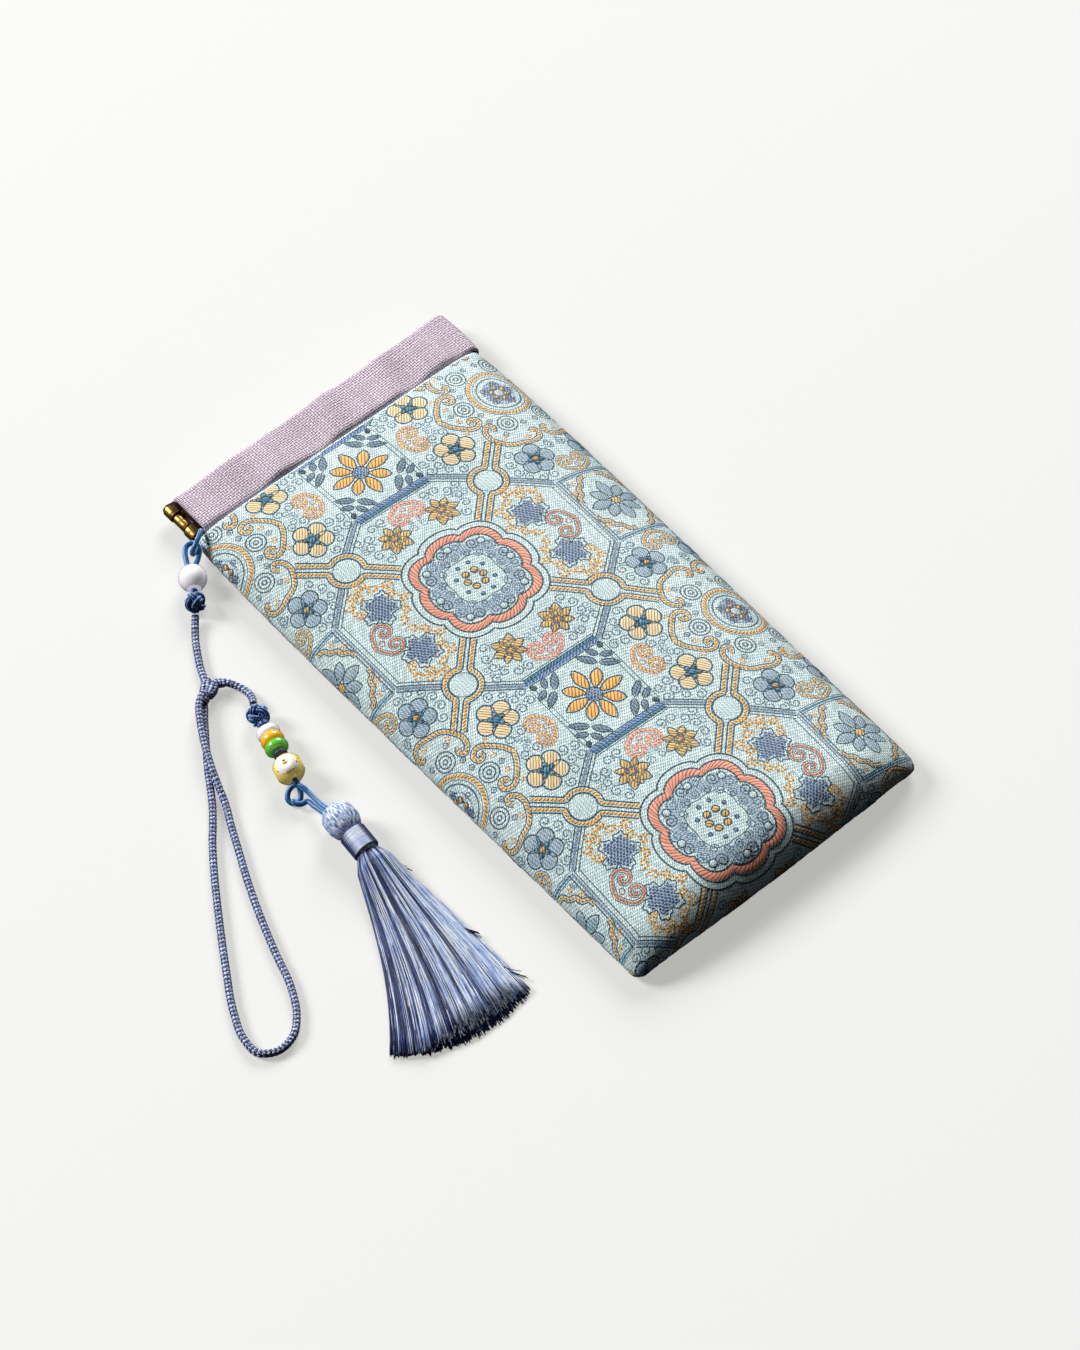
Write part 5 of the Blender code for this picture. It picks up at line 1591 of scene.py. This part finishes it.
def coinFaces():
    # A pale face on each of two opposite sides, with a small square hole and four gilt arcs along its
    # edges. Reach (|cos|^p + |sin|^p)^(-1/p) gives the rounded square.
    shape = coinShape
    angle = np.linspace(0, 2 * math.pi, 65)
    around = np.stack([np.cos(angle), np.sin(angle)], axis=1)
    power = shape["squareness"]
    square = around * ((np.abs(around) ** power).sum(axis=1) ** (-1 / power))[:, None]
    face = np.stack([onFlatSide(square * reach, lift) for reach, lift in coinFaceRings])
    bow = np.linspace(-1, 1, 15)
    arc = np.stack([shape["arcAway"] - shape["arcBow"] * bow**2, shape["arcHalf"] * bow], axis=1)
    edges = [onFlatSide(turnedBy(arc, degrees), 0.06) for degrees in (0, 90, 180, 270)]
    wires = [closedTube(edge, shape["arcWire"], 8) for edge in edges]
    wires.append(tube(onFlatSide(square * shape["hole"], 0.1), shape["holeWire"], 8))
    toSide = np.array([(0, 1, 0), (0, 0, 1), (1, 0, 0)], float)
    turns = [toSide @ turnedRound(degrees) for degrees in (90, 270)]
    gilding = [onCoinBead(wire @ turn) for turn in turns for wire in wires]
    return [onCoinBead(face @ turn) for turn in turns], gilding


# The ceramic and its pale faces also carry the painted glow of their own colour.
ceramic = glassLook("yellowCeramic", color(255, 226, 120), color(255, 204, 70), 0.15)
paleFace = glassLook("coinFacePale", color(255, 248, 244), color(255, 238, 214), 0.0)
giltArc = metalLook("coinGilding", color(232, 190, 84), color(170, 126, 44), 0.25)
pale, gilt = coinFaces()
piece(
    "coinBead", [onCoinBead(coinBall()), *pale, *gilt], [ceramic, paleFace, giltArc],
    ["coin_bead"], slots=[0] + [1] * len(pale) + [2] * len(gilt),
)

shares = np.linspace(0, 1, 5)[:, None]
throughBeads = coinRun + coinShape["width"] / 2 - cordStart
insideBeads = places["lowerKnot"] + beadAxis * (cordStart + throughBeads * shares)
insideTassel = places["tasselHead"] + np.array([0, 9])[:, None] * tasselWay
beadPath = satinPath([*insideBeads, *tasselCordRoute, *insideTassel])
beadCord = satinPiece("beadCord", beadPath, lanyard["satin"], ["bead_cord"])
secondStrand = satinPiece("secondStrand", satinPath(secondStrandRoute), lanyard["satin"])

# The tassel: a bound head and a skirt of fine strands fanned on the ground

tasselShape = {
    "head": 8.4, "headLength": 8.0, "neckStart": 3.7, "neck": 4.6, "binding": 6.0, "bindingWall": 0.8,
    "coilPitch": 0.5, "coilDepth": 0.07, "skirt": 54.0, "thickness": 3.3, "strands": 1300,
    "strandWidth": 0.33, "strandSteps": 13, "leaves": (-4.0, 21.0), "ends": (1.0, 38.0), "floor": 0.2,
    "flare": 0.62, "wispWidth": 0.22, "wispStrands": 7,
}
# The head's outline from its top to its neck: shares of half its width and of its length
headOutline = [
    (0.0, -0.5), (0.4, -0.5), (0.74, -0.43), (0.93, -0.29), (1.0, -0.1), (1.0, 0.12), (0.93, 0.28),
    (0.79, 0.41),
]
# Wisps: distance down the skirt, length and how far they stray
wispRows = [(2.0, 7.5, 2.4), (25.0, 8.5, 2.2), (42.0, 7.0, 2.0), (10.0, 9.0, 0.9)]


def tasselHead():
    # A barrel of yarn drawn over a core: the turned profile with fine grooves down its sides, |sin| of the
    # angle at three spacings, the coarser ones leaning as the yarn does.
    shape = tasselShape
    profile = [(wide * shape["head"] / 2, 0, down * shape["headLength"]) for wide, down in headOutline]
    half, neckEnd = shape["neck"] / 2, shape["neckStart"] + 7.0
    profile += [(half, 0, shape["neckStart"] + 0.3), (half, 0, neckEnd), (0.0, 0, neckEnd)]
    profile = np.maximum(smoothRoute(profile, 0.25)[:, [0, 2]], (0, -10))
    grid = turnedPiece(profile, (0, 0, 0), (0, 0, 1), 150)
    angle, z = np.arctan2(grid[..., 1], grid[..., 0]), grid[..., 2]
    groove = 1.025 - 0.045 * np.abs(np.sin(angle * 9 + z * 0.4))
    groove = groove - 0.03 * np.abs(np.sin(angle * 16 - z * 0.3 + 2.0))
    groove = groove - 0.014 * np.abs(np.sin(angle * 37 + 1.0))
    grooved = grid * np.stack([groove, groove, np.ones_like(groove)], axis=-1)
    return alongWay(grooved, tasselWay) + places["tasselHead"]


def skirtStrands():
    # Strands leave the neck's end, fall to the ground and fan out. Each has its own place across the
    # fan (share), its own height in the bundle (level) and a slight wave. The bundle is thickest in its
    # middle, thickness (0.4 + 0.6 sin(pi share)).
    shape = tasselShape
    count = shape["strands"]
    random = np.random.default_rng(7)
    neckEnd = places["tasselHead"] + tasselWay * (shape["neckStart"] + shape["binding"] - 0.4)
    share = ((np.arange(count) + random.uniform(0, 1, count)) / count)[:, None]
    level = random.uniform(0, 1, count)[:, None]
    along = np.linspace(0, 1, shape["strandSteps"])[None, :]
    leaves = np.interp(share, (0, 1), shape["leaves"])
    ends = np.interp(share, (0, 1), shape["ends"]) + random.normal(0, 1.1, count)[:, None]
    angle = np.radians(leaves + (ends - leaves) * along**1.5)[:, 1:]
    cut = 0.085 * level**1.5 * np.interp(share, (0.0, 0.15, 0.55, 0.8), (0.1, 1.0, 1.0, 0.0))
    trimmed = 0.975 + 0.055 * np.sin(math.pi * share) - cut + random.normal(0, 0.006, count)[:, None]
    steps = np.diff(shape["skirt"] * trimmed * along, axis=1)
    moves = [np.cumsum(-turn(angle) * steps, axis=1) for turn in (np.sin, np.cos)]
    moveX, moveY = [np.concatenate([np.zeros((count, 1)), move], axis=1) for move in moves]
    radius = shape["neck"] / 2 * 0.98
    startX = (1 - 2 * share) * radius
    startZ = np.sqrt(np.clip(radius**2 - startX**2, 0, None)) * (2 * level - 1)
    opening = 1 + shape["flare"] * np.clip(along * 14, 0, 1) ** 0.7 + 0.1 * np.sin(math.pi * along)
    x = neckEnd[0] + startX * opening + moveX
    y = neckEnd[1] + moveY
    thickness = shape["thickness"] * (1 - 0.3 * along) * (0.4 + 0.6 * np.sin(math.pi * share))
    low = shape["floor"] + level * thickness
    fall = (1 - np.clip(along / 0.42, 0, 1)) ** 1.7
    z = low + (neckEnd[2] + startZ * np.minimum(opening, 1.3) - low) * fall
    height = random.normal(0, 0.18, count)[:, None]
    speed = random.uniform(3, 8, count)[:, None]
    wave = height * np.sin(along * speed + random.uniform(0, 6, count)[:, None])
    x = x + wave * np.clip(along * 3, 0, 1)
    # Deep silk for nearly all low strands and, toward the fan's left edge, more upper ones (pale is that
    # chance): partly navy strands, partly painted shade underneath and on the side away from the light.
    pale = np.interp(share, (0.0, 0.55, 0.78, 1.0), (0.1, 0.22, 0.55, 0.97))
    dyed = random.uniform(0, 1, count) < np.where(level < 0.5, 0.97, pale)[:, 0]
    strands = np.stack([x, y, np.maximum(z, shape["floor"])], axis=-1)
    return strands, dyed.astype(int), random.uniform(0, 400, count)


def looseStrands():
    # Wisps that stray from the skirt's right edge: start + way s + outward reach (s / length)^2.
    shape = tasselShape
    random = np.random.default_rng(12)
    neckEnd = places["tasselHead"] + tasselWay * (shape["neckStart"] + shape["binding"])
    f = np.linspace(0, 1, 9)
    made = []
    for distance, length, reach in wispRows:
        for number in range(shape["wispStrands"]):
            own = length * random.uniform(0.6, 1.0)
            start = neckEnd[0] + 2.3 + 0.055 * distance + random.uniform(-0.3, 0.2)
            x = start + (0.12 * own * f + reach * random.uniform(0.5, 1.0) * f**2)
            y = neckEnd[1] - distance - random.uniform(0, 1.5) - own * f
            low = 0.5 + random.uniform(0.1, 0.8)
            z = low + 0.4 * np.sin(f * 2) + max(0.0, 2.2 - 0.2 * distance) * (1 - f)
            made.append(np.stack([x, y, z], axis=1))
    return np.array(made)


def strandTubes(lines, width):
    # A three-sided tube along every line at once. Its first ring is closed to a point and its last is cut
    # off square, closed by one more ring at the same place.
    lines = np.concatenate([lines, lines[:, -1:] + (lines[:, -1:] - lines[:, -2:-1]) * 0.004], axis=1)
    way = unit(np.gradient(lines, axis=1))
    side = unit(np.cross(way, (0.0, 0.0, 1.0)))
    above = np.cross(side, way)
    turn = np.radians([90, 210, 330, 90])[:, None]
    ring = np.cos(turn) * side[:, :, None] + np.sin(turn) * above[:, :, None]
    size = np.full(lines.shape[1], width / 2)
    size[[0, -1]] = 0
    return list(lines[:, :, None] + ring * size[None, :, None, None])


def silkLook(name, dark, middle, light, length, width, balance, paintedEdgeShade=None):
    # Silk fibres in three shades. Given a painted edge shade, it turns to that colour away from the eye:
    # painted shade on its sides.
    material, tree, shader = newMaterial(
        name, Roughness=0.34, Sheen_Weight=0.25, Sheen_Tint=color(190, 214, 250), Coat_Roughness=0.35,
        Coat_Weight=0.6 if paintedEdgeShade else 0.0,
    )
    found = useGroup(
        tree, fibres, Dark=dark, Middle=middle, Light=light, Length=length, Width=width, Balance=balance
    )
    shown = found["Color"]
    if paintedEdgeShade:
        shown = blendColors(tree, facing(tree, 0.5, 0.14, 0.42), shown, paintedEdgeShade)
    finish(shader, shown, found["Height"], 0.1, 0.5)
    return material


def bindingCoils():
    # Thread wound round the neck: radius r + depth |sin(pi place / pitch)|, drawn in at both ends.
    shape = tasselShape
    half, inner = shape["binding"] / 2, shape["neck"] / 2 + 0.3
    place = np.linspace(-half, half, 97)
    coil = shape["coilDepth"] * (np.abs(np.sin(math.pi * place / shape["coilPitch"])) - 1)
    radius = inner + shape["bindingWall"] + coil - 0.2 * np.clip(np.abs(place) - half + 0.3, 0, 1) / 0.3
    inside = [(inner, 0)]
    profile = np.concatenate([
        inside, [(inner, -half)], np.stack([radius, place], axis=1), [(inner, half)], inside
    ])
    middle = places["tasselHead"] + tasselWay * (shape["neckStart"] + half + 0.45)
    return turnedPiece(profile, middle, tasselWay, 48)


print("tassel")
silks = [
    silkLook("tasselSilk", color(24, 44, 124), color(152, 180, 234), color(244, 249, 255), 9.0, 1.0, 0.43),
    silkLook("tasselSilkDeep", color(8, 14, 58), color(30, 52, 126), color(178, 200, 242), 9.0, 1.0, 0.58),
    silkLook(
        "tasselHeadSilk", color(36, 54, 122), color(150, 174, 220), color(246, 248, 255), 1.6, 0.42, 0.47
    ),
]
lines, dyed, shades = skirtStrands()
head, strands = tasselHead(), strandTubes(lines, tasselShape["strandWidth"])
# Each strand reads its own stretch of the fibres: 55 mm along and 0.3 mm round
stretch = np.meshgrid(np.linspace(0, 55, strands[0].shape[0]), np.linspace(0, 0.3, 4), indexing="ij")
strandUvs = [np.stack(stretch, axis=-1) + shade for shade in shades]
tassel = piece(
    "tassel", [head, *strands], silks, ["tassel"], slots=[2, *dyed],
    uvs=[gridUv(head), *strandUvs],
)
wispGrids = strandTubes(looseStrands(), tasselShape["wispWidth"])
wisps = piece("looseStrands", wispGrids, [silks[1]])
# The binding's pale blues where it faces the eye are a painted highlight, and the navy toward its sides is
# painted shade.
bindingLook = silkLook(
    "bindingSatin", color(96, 124, 206), color(184, 202, 246), color(242, 247, 255), 14.0, 0.28, 0.44,
    color(10, 18, 84),
)
coils = bindingCoils()
binding = piece(
    "tasselBinding", [coils], [bindingLook], ["tassel_binding"],
    uvs=[gridUv(coils)[..., ::-1]],
)


# Floor, light and camera

studio = {
    "keyPlace": (-1.86, 2.6, 2.1), "keySize": 1.5, "keyPower": 166.0,   # metres and watts
    "lowPlace": (2.5, 2.2, 1.95), "lowSize": 2.0, "lowPower": 140.0, "fill": 0.03,
    "camera": (-0.4353, -0.5223, 0.9194), "target": (-0.00506, -0.00813, 0.0), "lens": 128.0, "floorHalf": 8,
}


def floorLook():
    # Pale to the camera, darker to bounced light, so that the shaded end of the pouch stays deep.
    material, tree, shader = newMaterial(
        "studioFloor", Roughness=0.9, Specular_IOR_Level=0.0, Emission_Strength=1.0
    )
    seen = put(tree, "ShaderNodeLightPath").outputs["Is Camera Ray"]
    for label, bounced, shown in (
        ("Base Color", (0.05, 0.05, 0.055, 1), (0.42, 0.42, 0.417, 1)),
        ("Emission Color", (0, 0, 0, 1), (0.46, 0.46, 0.442, 1)),
    ):
        feed(tree, shader.inputs[label], blendColors(tree, seen, bounced, shown))
    return material


def addObject(name, data, place=(0, 0, 0), target=None):
    # An object in the scene, turned to look from its place at a target.
    obj = bpy.data.objects.new(name, data)
    obj.location = place
    if target is not None:
        obj.rotation_euler = (Vector(target) - Vector(place)).to_track_quat("-Z", "Y").to_euler()
    bpy.context.scene.collection.objects.link(obj)
    return obj


print("floor, light and camera")
far = studio["floorHalf"]
floorMesh = bpy.data.meshes.new("floor")
floorMesh.from_pydata([(-far, -far, 0), (far, -far, 0), (far, far, 0), (-far, far, 0)], [], [(0, 1, 2, 3)])
floorMesh.materials.append(floorLook())
addObject("floor", floorMesh)

world = bpy.data.worlds.new("softStudio")
bpy.context.scene.world = world
world.use_nodes = True
background = world.node_tree.nodes["Background"]
background.inputs["Color"].default_value = (1.0, 1.0, 1.0, 1.0)
background.inputs["Strength"].default_value = studio["fill"]

for name in ("key", "low"):
    lamp = bpy.data.lights.new(name, "AREA")
    lamp.shape = "DISK"
    lamp.size = studio[f"{name}Size"]
    lamp.energy = studio[f"{name}Power"]
    addObject(name, lamp, studio[f"{name}Place"], (0, 0, 0))

camera = bpy.data.cameras.new("camera")
camera.lens = studio["lens"]
bpy.context.scene.camera = addObject("camera", camera, studio["camera"], studio["target"])
bpy.context.scene.view_settings.view_transform = "Standard"
